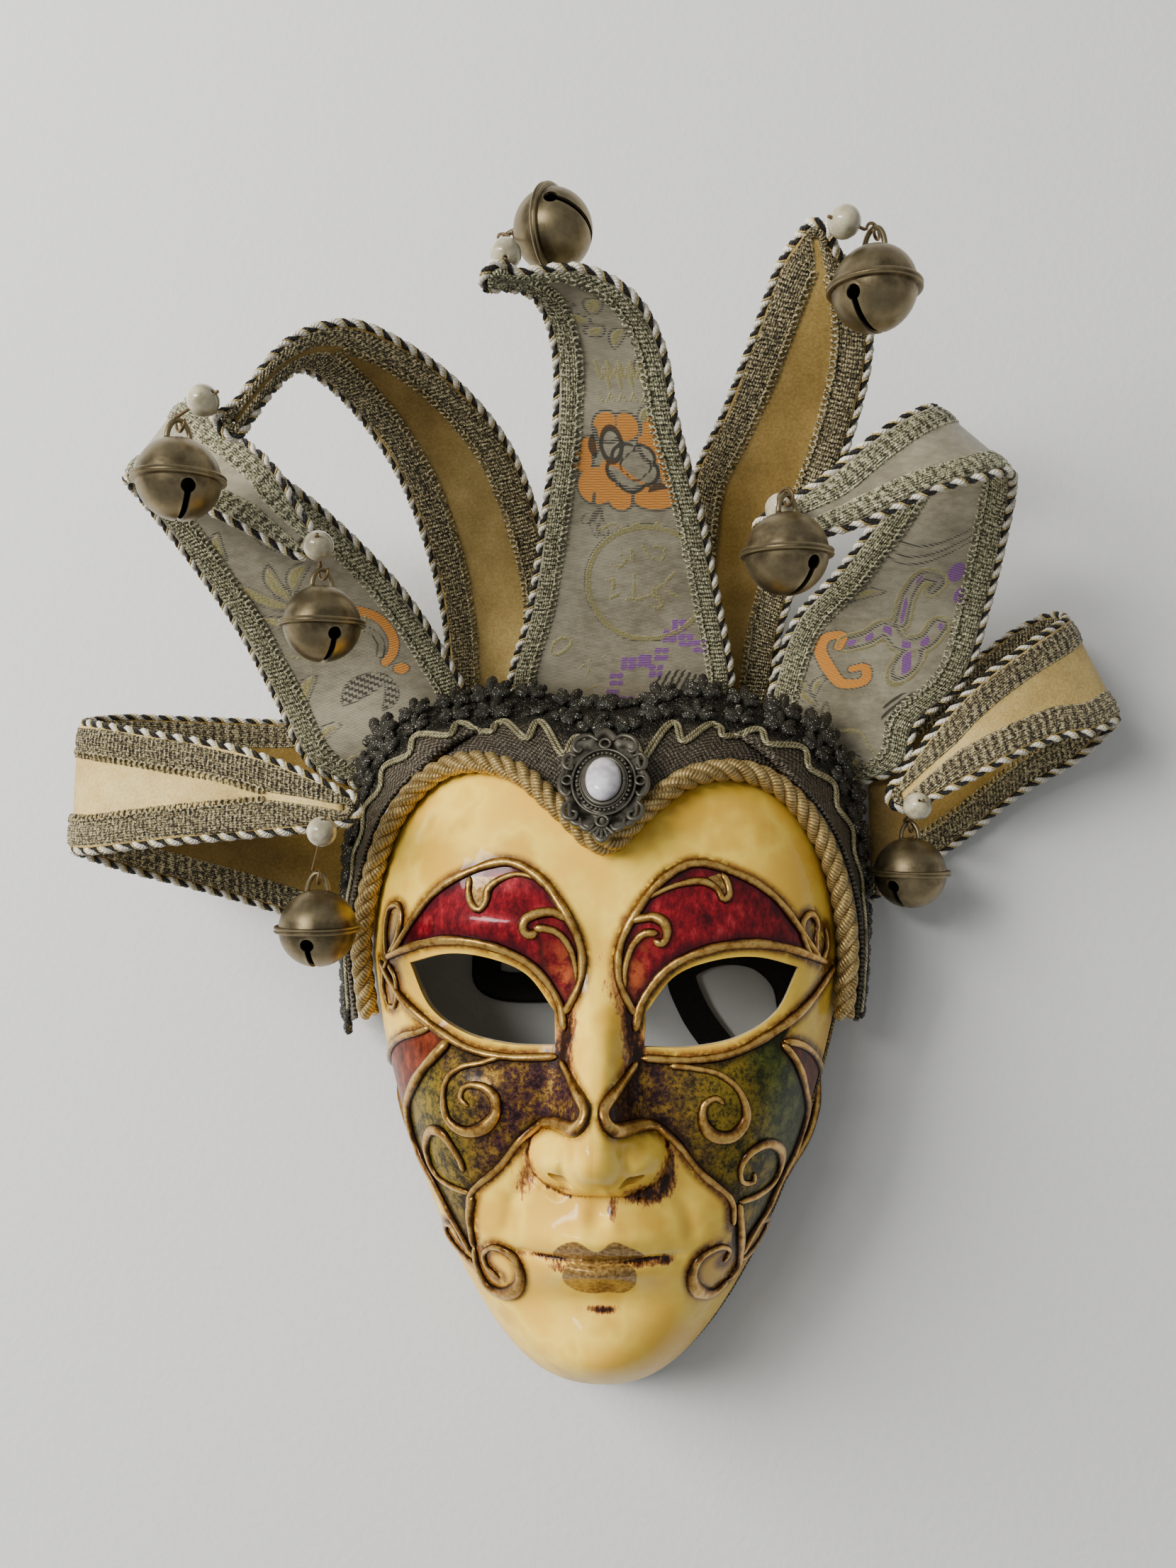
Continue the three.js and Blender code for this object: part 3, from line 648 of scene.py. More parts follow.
@dataclass(frozen=True)
class Lustre(Finish):
    """Pearl or polished stone: a pale body under a soft sheen, with painted shade darkening it towards its
    outline.

    Attributes:
        deep: Screen colour of the darker clouds.
        pale: Screen colour of the body.
    """

    deep: str = "C9C0AE"
    pale: str = "F2EEE4"

    def dress(self, book: NodeBook) -> dict[str, Value]:
        """The shader's inputs."""
        cloud = book.noise(4, 3, 0.5)
        edge = book.node("ShaderNodeLayerWeight", inputs={"Blend": 0.35}, output="Facing")
        tint = book.tones(cloud.ramp(0.3, 0.7), self.deep, self.pale)
        # Painted shade: darker towards the outline as seen from the camera.
        tint = book.mix(edge * 0.5, tint, colour("B0A690"))
        return {
            "Base Color": tint,
            "Roughness": cloud * 0.1 + 0.16,
            "Coat Weight": 0.8,
            "Coat Roughness": 0.06,
            "Normal": book.bump(cloud, 0.05, 0.4),
        }


@dataclass(frozen=True)
class BlackSatin(Finish):
    """Plain black ribbon with fine weft ribs.

    Attributes:
        rib: Distance from rib to rib.
    """

    rib: float = 0.6

    def dress(self, book: NodeBook) -> dict[str, Value]:
        """The shader's inputs."""
        ribs = (book.attribute("along") * (TURN / self.rib)).wave()
        dust = book.noise(6, 4, 0.7)
        return {
            "Base Color": book.tones(dust, "050505", "151413"),
            "Roughness": dust * 0.2 + 0.45,
            "Sheen Weight": 0.2,
            "Normal": book.bump(ribs, 0.15, 0.6),
        }


@dataclass(frozen=True)
class PalePlaster(Finish):
    """The plain pale floor."""

    def dress(self, book: NodeBook) -> dict[str, Value]:
        """The shader's inputs."""
        grain = book.noise(3, 5, 0.6)
        return {
            "Base Color": book.tones(grain, "CFCFCC", "D4D4D1"),
            "Roughness": 0.9,
            "Normal": book.bump(grain, 0.35, 0.5),
        }


class Finishes(Enum):
    """Every finish of the mask and its floor."""

    FACE = PaintedLacquer("aged_ivory_lacquer", "ivory_composition")
    GILDING = GildedPaste("antique_gilding", "ivory_composition")
    ROPE = WoundCord("gold_rope_thread", "gold_rope", (("6E5224", "D2B87C"),), 0.7, 0.8)
    EDGE_CORD = WoundCord(
        "edge_cord_thread", "edge_cord",
        (("0B0A09", "24211C"), ("B5AC98", "E9E3D3"), ("6E5A28", "DCC684")), 0.1, 0.7,
    )
    SOUTACHE = WoundCord("silver_gold_soutache", "silver_cord", (("5E553A", "D8CFA6"),), 0.7, 1.6)
    VELVET = Velvet("old_gold_velvet", "velvet")
    BROCADE = Brocade("silver_grey_brocade", "brocade")
    WARM_GIMP = Gimp("gold_black_gimp", "edge_braid", "1D170F", "786B4C", "E0D2A4")
    COOL_GIMP = Gimp("green_silver_gimp", "edge_braid", "2A2719", "8F8A68", "E2DEB8")
    RIM_GIMP = Gimp("rim_gimp", "rim_braid", "171006", "5A4420", "B89A58")
    LACE = KnitLace("dark_metal_lace", "dark_lace", "14120E", "8E8876")
    LACE_KNOBS = KnitLace("dark_lace_knobs", "dark_lace", "2B2922", "E0DBCA", 0.8, False)
    BELL = AgedMetal("antique_brass_patina", "antique_brass", "3C3324", "75684E", "A69672", 0.2)
    WIRE = AgedMetal("dark_bronze_wire", "bronze_wire", "2A1F16", "66543C", "A58C66", 0.3)
    PEWTER = AgedMetal("blackened_pewter", "pewter", "12100C", "3C382F", "989283", 0.24)
    PEARL = Lustre("pearl_lustre", "pearl", "827A60", "B8AF92")
    STONE = Lustre("white_oval_stone", "stone", "9A969C", "CFCCD0")
    RIBBON = BlackSatin("black_satin_ribbon", "black_ribbon")
    FLOOR = PalePlaster("pale_plaster", "")


# Meshes


class Path:
    """Smooth curve through points (a centripetal Catmull-Rom spline)."""

    def __init__(self, points: Iterable[Sequence[float]]) -> None:
        """Keeps the points that the curve passes through."""
        self.points = np.array(list(points), float)

    def at(self, shares: Array) -> Array:
        """Points of the curve.

        Args:
            shares: Places from 0 at the first point to 1 at the last, evenly by point.
        """
        knots = self.points
        place = np.clip(np.asarray(shares, float), 0, 1) * (len(knots) - 1)
        index = np.minimum(place.astype(int), len(knots) - 2)
        rest = (place - index)[:, None]
        padded = np.vstack([2 * knots[0] - knots[1], knots, 2 * knots[-1] - knots[-2]])
        before, start, end, after = (padded[index + k] for k in range(4))
        gap_a, gap_b, gap_c = (
            np.sqrt(np.maximum(np.linalg.norm(b - a, axis=1), 1e-6))[:, None]
            for a, b in ((before, start), (start, end), (end, after))
        )
        leave = ((start - before) / gap_a - (end - before) / (gap_a + gap_b)) * gap_b + end - start
        arrive = ((after - end) / gap_c - (after - start) / (gap_b + gap_c)) * gap_b + end - start
        square = -3 * start + 3 * end - 2 * leave - arrive
        cube = 2 * start - 2 * end + leave + arrive
        return start + leave * rest + square * rest**2 + cube * rest**3

    def ahead(self, shares: Array) -> Array:
        """Unit tangents at the shares."""
        shares = np.asarray(shares, float)
        return unit(self.at(np.minimum(shares + 1e-3, 1)) - self.at(np.maximum(shares - 1e-3, 0)))

    def even_shares(self, spacing: float) -> Array:
        """Shares whose points lie about spacing apart along the curve."""
        dense = np.linspace(0, 1, 40 * len(self.points))
        travelled = lengths_along(self.at(dense))
        count = max(int(round(travelled[-1] / spacing)), 2)
        return np.interp(np.linspace(0, travelled[-1], count + 1), travelled, dense)

    def even(self, spacing: float) -> Array:
        """Points about spacing apart along the curve."""
        return self.at(self.even_shares(spacing))


def flat_curve(route: Iterable[Flat], spacing: float) -> Array:
    """Points about spacing apart along a smooth curve in the plane."""
    return Path([(x, y, 0) for x, y in route]).even(spacing)[:, :2]


def lengths_along(points: Array) -> Array:
    """Distance travelled at each point of a line of points."""
    steps = np.linalg.norm(np.diff(points, axis=0), axis=1)
    return np.concatenate([[0], np.cumsum(steps)])


def carry_frames(line: Array) -> tuple[Array, Array, Array]:
    """Directions along a line and two square to it, turned as little as possible."""
    ahead = unit(np.gradient(line, axis=0))
    last = np.array([0.0, 0, 1]) if abs(ahead[0, 2]) < 0.9 else np.array([1.0, 0, 0])
    side = np.zeros_like(ahead)
    for index, direction in enumerate(ahead):
        last = unit(last - direction * (last @ direction))
        side[index] = last
    return ahead, side, np.cross(ahead, side)


@dataclass
class MeshDraft:
    """Points, faces and point values of a piece before it becomes an object."""

    points: list[Array] = field(default_factory=list)
    faces: list[Array] = field(default_factory=list)
    values: dict[str, list[Array]] = field(default_factory=dict)
    count: int = 0

    def add(self, points: Array, faces: list[Array], values: dict[str, Array]) -> None:
        """Adds points with their faces and values; what a value lacks elsewhere is 0."""
        for name in values.keys() - self.values.keys():
            self.values[name] = [np.zeros(self.count)]
        for name, stored in self.values.items():
            stored.append(np.broadcast_to(values.get(name, 0.0), len(points)).astype(float))
        self.points.append(points)
        self.faces.extend(block + self.count for block in faces if len(block))
        self.count += len(points)

    def add_grid(
        self,
        grid: Array,
        closed: tuple[bool, bool] = (False, False),
        caps: bool = False,
        **values: Array,
    ) -> None:
        """Adds rows and columns of points joined by four-sided faces.

        Args:
            grid: Points, by row, column and coordinate.
            closed: Whether the rows, and the columns, run on from last to first.
            caps: Whether the first and last rows are closed by a fan.
            values: Numbers by point, in the grid's shape or spread over it.
        """
        rows, columns = grid.shape[:2]
        index = np.arange(rows * columns).reshape(rows, columns)
        if closed[0]:
            index = np.vstack([index, index[:1]])
        if closed[1]:
            index = np.hstack([index, index[:, :1]])
        corners = [index[:-1, :-1], index[1:, :-1], index[1:, 1:], index[:-1, 1:]]
        blocks = [np.stack(corners, -1).reshape(-1, 4)]
        flat = grid.reshape(-1, 3)
        numbers = {k: np.broadcast_to(v, (rows, columns)).reshape(-1) for k, v in values.items()}
        if caps:
            flat = np.vstack([flat, grid[0].mean(0), grid[-1].mean(0)])
            for key, v in numbers.items():
                numbers[key] = np.append(v, [v[:columns].mean(), v[-columns:].mean()])
            first, last = index[0], index[-1]
            middle = np.full(len(first) - 1, rows * columns)
            blocks.append(np.stack([first[:-1], first[1:], middle], -1))
            blocks.append(np.stack([last[1:], last[:-1], middle + 1], -1))
        self.add(flat, blocks, numbers)

    def add_tube(
        self,
        line: Array,
        radius: Array | float,
        sides: int = 8,
        up: Array | None = None,
        squash: float = 1.0,
    ) -> None:
        """Adds a bar along a line, with values along, around and height (1 at its top).

        Args:
            line: Points of the bar's middle.
            radius: Its radius, the same all along or by point.
            sides: Number of its sides.
            up: Direction of its top by point, where that matters.
            squash: Height over width.
        """
        ahead, side, over = carry_frames(line)
        if up is not None:
            over = unit(up - ahead * np.sum(up * ahead, 1, keepdims=True))
            side = np.cross(over, ahead)
        angles = turns(sides)
        reach = np.broadcast_to(radius, len(line))[:, None, None]
        wide, high = np.cos(angles)[:, None], np.sin(angles)[:, None]
        ring = side[:, None] * wide + over[:, None] * high * squash
        self.add_grid(
            line[:, None] + ring * reach, (False, True), True,
            along=lengths_along(line)[:, None] / MM_PER_M,
            around=angles / TURN,
            height=np.sin(angles) * 0.5 + 0.5,
        )

    def add_slab(self, front: Array, back: Array, **values: Array) -> None:
        """Adds a closed slab between two grids of the same shape."""
        loop = np.concatenate([front, back[:, ::-1]], 1)
        numbers = {k: np.concatenate([v, v[:, ::-1]], 1) for k, v in values.items()}
        start = self.count
        self.add_grid(loop, (False, True), False, **numbers)
        rows, columns = front.shape[:2]
        for row in (0, rows - 1):
            upper = start + row * 2 * columns + np.arange(columns)
            lower = start + row * 2 * columns + 2 * columns - 1 - np.arange(columns)
            self.faces.append(np.stack([upper[:-1], upper[1:], lower[1:], lower[:-1]], -1))

    def object(self, name: str, finish: Finishes, outward: bool = True) -> Piece:
        """Makes the object: smooth, with its place in its mesh in metres.

        Args:
            name: The object's name.
            finish: Its finish.
            outward: Whether its faces are turned to point outwards.
        """
        mesh = bpy.data.meshes.new(name)
        points = in_metres(np.vstack(self.points))
        sizes = np.concatenate([np.full(len(block), block.shape[1]) for block in self.faces])
        corners = np.concatenate([block.reshape(-1) for block in self.faces])
        mesh.vertices.add(len(points))
        mesh.vertices.foreach_set("co", points.reshape(-1))
        mesh.loops.add(len(corners))
        mesh.loops.foreach_set("vertex_index", corners)
        mesh.polygons.add(len(sizes))
        mesh.polygons.foreach_set("loop_start", np.concatenate([[0], np.cumsum(sizes)[:-1]]))
        for key, stored in self.values.items():
            write_value(mesh, key, np.concatenate(stored))
        mesh.update(calc_edges=True)
        mesh.validate()
        if outward:
            turn_outwards(mesh)
        mesh.materials.append(finish.value.material())
        return smooth(link(name, mesh))


def in_metres(points: Array) -> Array:
    """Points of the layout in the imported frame's metres."""
    return (points - FOOTPRINT_MIDDLE) / MM_PER_M


def link(name: str, data: bpy.types.ID) -> Piece:
    """A new object in the scene."""
    made = bpy.data.objects.new(name, data)
    bpy.context.scene.collection.objects.link(made)
    return made


def smooth(piece: Piece) -> Piece:
    """Shades a piece smoothly and returns it."""
    faces = piece.data.polygons
    faces.foreach_set("use_smooth", np.ones(len(faces), bool))
    return piece


def solid(rows: Sequence[Array], name: str, finish: Finishes) -> Piece:
    """A closed solid of rings of points, from its first end to its last."""
    draft = MeshDraft()
    draft.add_grid(np.stack(rows), (False, True), caps=True)
    return draft.object(name, finish)


def write_value(mesh: bpy.types.Mesh, name: str, numbers: Array) -> None:
    """Stores a number by point on a mesh."""
    known = mesh.attributes.get(name)
    if known:
        mesh.attributes.remove(known)
    mesh.attributes.new(name, "FLOAT", "POINT").data.foreach_set("value", numbers)


def read_points(mesh: bpy.types.Mesh) -> Array:
    """A mesh's points in the layout's millimetres."""
    flat = np.zeros(len(mesh.vertices) * 3)
    mesh.vertices.foreach_get("co", flat)
    return flat.reshape(-1, 3) * MM_PER_M + FOOTPRINT_MIDDLE


def turn_outwards(mesh: bpy.types.Mesh) -> None:
    """Turns the faces of closed shells outwards."""
    work = bmesh.new()
    work.from_mesh(mesh)
    bmesh.ops.recalc_face_normals(work, faces=work.faces)
    work.to_mesh(mesh)
    work.free()


def bake_modifier(target: Piece, modifier: bpy.types.Modifier) -> None:
    """Turns an object with one modifier into a plain mesh without it."""
    graph = bpy.context.evaluated_depsgraph_get()
    shaped = target.evaluated_get(graph)
    mesh = bpy.data.meshes.new_from_object(shaped, preserve_all_data_layers=True, depsgraph=graph)
    target.modifiers.remove(modifier)
    target.data = mesh


def cut(target: Piece, tool: Piece) -> None:
    """Cuts one object out of another and throws the tool away."""
    modifier = target.modifiers.new("cut", "BOOLEAN")
    modifier.operation = "DIFFERENCE"
    modifier.solver = "EXACT"
    modifier.object = tool
    bake_modifier(target, modifier)
    bpy.data.objects.remove(tool)


def settle(piece: Piece, finish: Finishes, *nodes: str) -> None:
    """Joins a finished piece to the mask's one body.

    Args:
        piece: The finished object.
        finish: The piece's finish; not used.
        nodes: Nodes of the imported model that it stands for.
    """
    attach(piece, BODY)
    if nodes:
        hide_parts(*nodes)
    LOG.info("%s: %d faces", piece.name, len(piece.data.polygons))


# Geometry node trees


class GeometryTree:
    """A geometry node tree with named inputs. It runs once and leaves a plain mesh."""

    SOCKETS: dict[str, str] = {}

    def __init__(self, name: str) -> None:
        """Makes the empty tree with its inputs and output."""
        self.tree = bpy.data.node_groups.new(name, "GeometryNodeTree")
        shape = "NodeSocketGeometry"
        self.tree.interface.new_socket("Geometry", in_out="INPUT", socket_type=shape)
        self.tree.interface.new_socket("Geometry", in_out="OUTPUT", socket_type=shape)
        for key, kind in {**self.SOCKETS, "Material": "NodeSocketMaterial"}.items():
            self.tree.interface.new_socket(key, in_out="INPUT", socket_type=kind)
        self.book = NodeBook(self.tree)
        self.given = self.book.node("NodeGroupInput").socket.node

    def input(self, name: str) -> Sock:
        """One of the tree's inputs."""
        return Sock(self.book, self.given.outputs[name])

    def vector(self, operation: str, first: Value, second: Value) -> Sock:
        """A Vector Math node on two vectors, or on a vector and a scale."""
        inputs = {0: first, "Scale" if operation == "SCALE" else 1: second}
        return self.book.node("ShaderNodeVectorMath", {"operation": operation}, inputs)

    def named(self, name: str, kind: str) -> Sock:
        """An attribute of the geometry by name."""
        return self.book.node("GeometryNodeInputNamedAttribute", {"data_type": kind}, {"Name": name})

    def store(self, geometry: Sock, name: str, value: Value) -> Sock:
        """Stores a number by point under a name."""
        settings = {"data_type": "FLOAT", "domain": "POINT"}
        inputs = {"Geometry": geometry, "Name": name, "Value": value}
        return self.book.node("GeometryNodeStoreNamedAttribute", settings, inputs)

    def end(self, geometry: Sock) -> None:
        """Closes the tree: real instances, with the material set."""
        real = self.book.node("GeometryNodeRealizeInstances", inputs={"Geometry": geometry})
        inputs = {"Geometry": real, "Material": self.input("Material")}
        dressed = self.book.node("GeometryNodeSetMaterial", inputs=inputs)
        self.book.node("NodeGroupOutput", inputs={"Geometry": dressed})

    def run(self, target: Piece, finish: Finishes, **values: float) -> None:
        """Runs the tree on an object, which keeps the result as its mesh.

        Args:
            target: The object; its mesh is the tree's geometry.
            finish: The finish that the result gets.
            values: The tree's inputs by name, with underscores for spaces.
        """
        modifier = target.modifiers.new(self.tree.name, "NODES")
        modifier.node_group = self.tree
        wanted = {key.replace("_", " "): value for key, value in values.items()}
        wanted["Material"] = finish.value.material()
        for item in self.tree.interface.items_tree:
            if item.in_out == "INPUT" and item.name in wanted:
                modifier[item.identifier] = wanted[item.name]
        bake_modifier(target, modifier)


class TwistedCord(GeometryTree):
    """Strands twisted round a path."""

    SOCKETS = {"Pitch": "NodeSocketFloat", "Step": "NodeSocketFloat"}

    def __init__(self, name: str, strands: Sequence[tuple], sides: int) -> None:
        """Builds the tree.

        Args:
            name: The tree's name.
            strands: Orbit and radius in millimetres, phase in turns and tone of each.
            sides: Number of sides of a strand.
        """
        super().__init__(name)
        book = self.book
        path = book.node("GeometryNodeMeshToCurve", inputs={"Mesh": self.input("Geometry")})
        inputs = {"Curve": path, "Length": self.input("Step")}
        path = book.node("GeometryNodeResampleCurve", {"mode": "LENGTH"}, inputs)
        self.travelled = book.node("GeometryNodeSplineParameter", output="Length")
        self.path = self.store(path, "along", self.travelled)
        self.normal = book.node("GeometryNodeInputNormal")
        tangent = book.node("GeometryNodeInputTangent")
        self.across = self.vector("CROSS_PRODUCT", tangent, self.normal)
        made = [self._strand(*strand, sides) for strand in strands]
        self.end(book.node("GeometryNodeJoinGeometry", inputs={"Geometry": made}))

    def _strand(self, orbit: float, radius: float, phase: float, tone: int, sides: int) -> Sock:
        """One strand: the path pushed out in a helix, with a round section."""
        book = self.book
        turn = (self.travelled / self.input("Pitch") + phase) * TURN
        orbit = orbit / MM_PER_M
        push = self.vector("SCALE", self.normal, turn.cosine() * orbit)
        push = self.vector("ADD", push, self.vector("SCALE", self.across, turn.sine() * orbit))
        helix = book.node("GeometryNodeSetPosition", inputs={"Geometry": self.path, "Offset": push})
        inputs = {"Resolution": sides, "Radius": radius / MM_PER_M}
        ring = book.node("GeometryNodeCurvePrimitiveCircle", inputs=inputs)
        ring = self.store(ring, "around", book.node("GeometryNodeSplineParameter", output="Factor"))
        inputs = {"Curve": helix, "Profile Curve": ring, "Fill Caps": True}
        return self.store(book.node("GeometryNodeCurveToMesh", inputs=inputs), "tone", float(tone))


class SetOut(GeometryTree):
    """Copies of one small object set out at points, turned by the points' directions."""

    SOCKETS = {"Item": "NodeSocketObject", "Unevenness": "NodeSocketFloat", "Seed": "NodeSocketInt"}

    def __init__(self, name: str) -> None:
        """Builds the tree."""
        super().__init__(name)
        book = self.book
        settings = {"primary_axis": "Z", "secondary_axis": "X"}
        inputs = {0: self.named("up", "FLOAT_VECTOR"), 1: self.named("ahead", "FLOAT_VECTOR")}
        turn = book.node("FunctionNodeAxesToRotation", settings, inputs)
        spare = self.input("Unevenness")
        size = book.node("FunctionNodeRandomValue", {"data_type": "FLOAT"}, output=1)
        limits = {"Min": 1 - spare, "Max": 1 + spare, "Seed": self.input("Seed")}
        for socket in size.socket.node.inputs:
            if socket.enabled and socket.name in limits:
                book.plug(socket, limits[socket.name])
        inputs = {"Object": self.input("Item")}
        item = book.node("GeometryNodeObjectInfo", inputs=inputs, output="Geometry")
        inputs = {"Points": self.input("Geometry"), "Instance": item, "Rotation": turn}
        inputs["Scale"] = size * self.named("size", "FLOAT")
        self.end(book.node("GeometryNodeInstanceOnPoints", inputs=inputs))

    def lay(
        self, name: str, finish: Finishes, item: MeshDraft, spots: tuple[Array, Array, Array],
        sizes: Array | float, unevenness: float, seed: int,
    ) -> Piece:
        """Makes one object of all the copies.

        Args:
            name: Its name.
            finish: Its finish.
            item: The small object, drawn about the layout's origin.
            spots: Points, and the directions of the item's z and x axes there.
            sizes: Scale of each copy.
            unevenness: How much the scale varies at random.
            seed: Seed of that variation.
        """
        points, up, ahead = spots
        mesh = bpy.data.meshes.new(name)
        mesh.from_pydata(in_metres(points).tolist(), [], [])
        for key, vectors in (("up", up), ("ahead", ahead)):
            wide = np.broadcast_to(vectors, points.shape).astype(float).reshape(-1)
            mesh.attributes.new(key, "FLOAT_VECTOR", "POINT").data.foreach_set("vector", wide)
        write_value(mesh, "size", np.broadcast_to(sizes, len(points)).astype(float))
        target = link(name, mesh)
        pattern = item.object(name + "_pattern", finish)
        pattern.data.transform(Matrix.Translation(Vector(FOOTPRINT_MIDDLE / MM_PER_M)))
        self.run(target, finish, Item=pattern, Unevenness=unevenness, Seed=seed)
        bpy.data.objects.remove(pattern)
        return smooth(target)


def cord_along(
    name: str, finish: Finishes, tree: TwistedCord, line: Array, pitch: float, step: float
) -> Piece:
    """Twisted cord along a line of points in millimetres."""
    mesh = bpy.data.meshes.new(name)
    edges = [(i, i + 1) for i in range(len(line) - 1)]
    mesh.from_pydata(in_metres(line).tolist(), edges, [])
    target = link(name, mesh)
    tree.run(target, finish, Pitch=pitch / MM_PER_M, Step=step / MM_PER_M)
    return smooth(target)


def join(name: str, *parts: Piece) -> Piece:
    """Joins objects into the first one, which takes the name."""
    with bpy.context.temp_override(active_object=parts[0], selected_editable_objects=list(parts)):
        bpy.ops.object.join()
    parts[0].name = name
    return parts[0]


# The face


def distance_to_line(line: Array, points: Array) -> Array:
    """Distance in the plane from each point to the nearest part of a line of points."""
    nearest = np.full(len(points), 1e3)
    for start, end in zip(line[:-1], line[1:]):
        run = end - start
        share = np.clip(((points - start) @ run) / max(run @ run, 1e-9), 0, 1)
        nearest = np.minimum(nearest, np.linalg.norm(points - start - share[:, None] * run, axis=1))
    return nearest


@dataclass(frozen=True)
class FaceForm:
    """The face's surface: an egg-shaped dome with nose, lips, chin and cheeks on it."""

    middle: float = -2.0
    half_width: float = 86.5
    brow: float = 10.0
    to_top: float = 92.0
    to_chin: float = 147.0
    jaw_taper: float = 0.347
    depth: float = 74.0
    wall: float = 3.0
    rim_spread: float = 0.985
    grid_centre: Flat = (0.0, -50.0)
    nose_root: float = 14.0
    nose_tip: float = -47.0
    nose_rise: float = 22.0
    swellings: tuple[tuple[float, ...], ...] = (
        (14.8, -51.5, 6.4, 6.4, 10.5),
        (0, -50, 9, 8, 2.4),
        (0, -76, 27, 15, 7),
        (0, -117, 25, 13.5, 13),
        (38, -8, 20, 12, -7),
        (30, 20, 24, 8, 3),
        (42, -38, 20, 18, 5),
        (0, -75.5, 17, 4, 3.5),
        (0, -86, 14, 4.5, 4),
        (0, -97, 20, 5.5, -2.6),
        (0, -68, 3.2, 5, -1.2),
        (4.8, -70, 2.4, 5, 0.5),
    )
    creases: tuple[tuple[float, float, Route], ...] = (
        (2.4, 1.9, ((18, -42), (21.6, -46), (22.8, -51), (21, -56.5), (17, -60), (12.5, -61.5))),
        (1.7, 1.8, ((8.4, -47), (9.4, -52), (9.2, -60))),
        (1.2, 2.6, ((22, -58), (27, -66), (29, -74))),
        (0.8, 1.8, ((24, -81.6), (26, -83.5))),
    )

    def spread(self, x: Array, y: Array) -> Array:
        """0 at the brow's middle, 1 on the rim."""
        below = y < self.brow
        along = np.where(below, (self.brow - y) / self.to_chin, (y - self.brow) / self.to_top)
        power = np.where(below, 2.4, 2.6)
        reach = self.half_width * np.where(below, 1 - self.jaw_taper * along, 1)
        return (np.abs((x - self.middle) / reach) ** power + along**power) ** (1 / power)

    def dome(self, x: Array, y: Array) -> Array:
        """Height of the plain dome."""
        return self.depth * (1 - np.minimum(self.spread(x, y), 1) ** 3.4) ** 0.435

    @staticmethod
    def mouth(x: Array) -> Array:
        """Where the line between the lips runs."""
        return -82.3 + 1.2 * (np.abs(x) / 25) ** 2

    def relief(self, x: Array, y: Array) -> Array:
        """What stands out of the plain dome."""
        down = 1 - smoothstep(y, self.nose_tip, self.nose_root)
        below_tip = np.clip((self.nose_tip - 1 - y) / 14.5, 0, 1)
        under = (1 - below_tip**2.3) ** 0.75
        across = np.exp(-((np.abs(x) / (7.2 + 3.8 * down**3)) ** 2.6))
        height = self.nose_rise * down**1.2 * under * across
        for middle_x, middle_y, wide, high, rise in self.swellings:
            off = ((np.abs(x) - middle_x) / wide) ** 2 + ((y - middle_y) / high) ** 2
            height = height + rise * np.exp(-off)
        parting = np.exp(-(((y - self.mouth(x)) / 1.3) ** 2)) * np.exp(-((np.abs(x) / 22) ** 4))
        height = height - 3.2 * parting
        folded = np.stack([np.abs(x).reshape(-1), np.asarray(y, float).reshape(-1)], -1)
        for deep, wide, route in self.creases:
            gap = distance_to_line(np.array(route), folded).reshape(np.shape(x))
            height = height - deep * np.exp(-((gap / wide) ** 2))
        return height * (1 - smoothstep(self.spread(x, y), 0.93, 1))

    def height(self, x: Array, y: Array) -> Array:
        """Height of the front."""
        return self.dome(x, y) + self.relief(x, y)

    def hollow(self, x: Array, y: Array) -> Array:
        """Height of the back, which follows the front more softly."""
        scale = 1 - self.wall / self.half_width
        angles = np.arange(8) * math.pi / 4
        around = [self.relief(x + 7 * math.cos(a), y + 7 * math.sin(a)) for a in angles]
        soft = np.minimum.reduce([self.relief(x, y), *around])
        return self.dome(x / scale, y / scale) + soft - self.wall

    def normal(self, x: Array, y: Array) -> Array:
        """Unit normals of the front."""
        slope_x = (self.height(x + 0.4, y) - self.height(x - 0.4, y)) / 0.8
        slope_y = (self.height(x, y + 0.4) - self.height(x, y - 0.4)) / 0.8
        return unit(np.stack([-slope_x, -slope_y, np.ones_like(slope_x)], -1))

    def on_face(self, flat: Array, lift: float = 0.0) -> Array:
        """Points of the front seen at (x, y), lifted along its normal."""
        x, y = np.asarray(flat, float)[..., 0], np.asarray(flat, float)[..., 1]
        return np.stack([x, y, self.height(x, y)], -1) + self.normal(x, y) * lift

    def reach(
        self,
        centre: Sequence[Array | float],
        angles: Array,
        spread: float = 1.0,
        limit: float = 200.0,
        steps: int = 40,
    ) -> Array:
        """Distance from a centre to a chosen spread, by direction, found by halving.

        Args:
            centre: Where the distances start, one point or one by direction.
            angles: Directions in the plane.
            spread: The spread that is sought.
            limit: The longest distance.
            steps: Number of halvings.
        """
        low, high = np.zeros_like(angles), np.full_like(angles, limit)
        for _ in range(steps):
            middle = (low + high) / 2
            x = centre[0] + middle * np.cos(angles)
            y = centre[1] + middle * np.sin(angles)
            within = self.spread(x, y) < spread
            low, high = np.where(within, middle, low), np.where(within, high, middle)
        return low


FORM = FaceForm()


def depth_inside(outline: Array, points: Array) -> Array:
    """Distance in the plane to a closed outline: positive within it, negative outside."""
    closed = np.vstack([outline, outline[:1]])
    within = np.zeros(len(points), bool)
    x, y = points[:, 0], points[:, 1]
    for (x0, y0), (x1, y1) in zip(closed[:-1], closed[1:]):
        if y0 != y1:
            crosses = (y0 > y) != (y1 > y)
            within ^= crosses & (x < (x1 - x0) * (y - y0) / (y1 - y0) + x0)
    return distance_to_line(closed, points) * np.where(within, 1, -1)


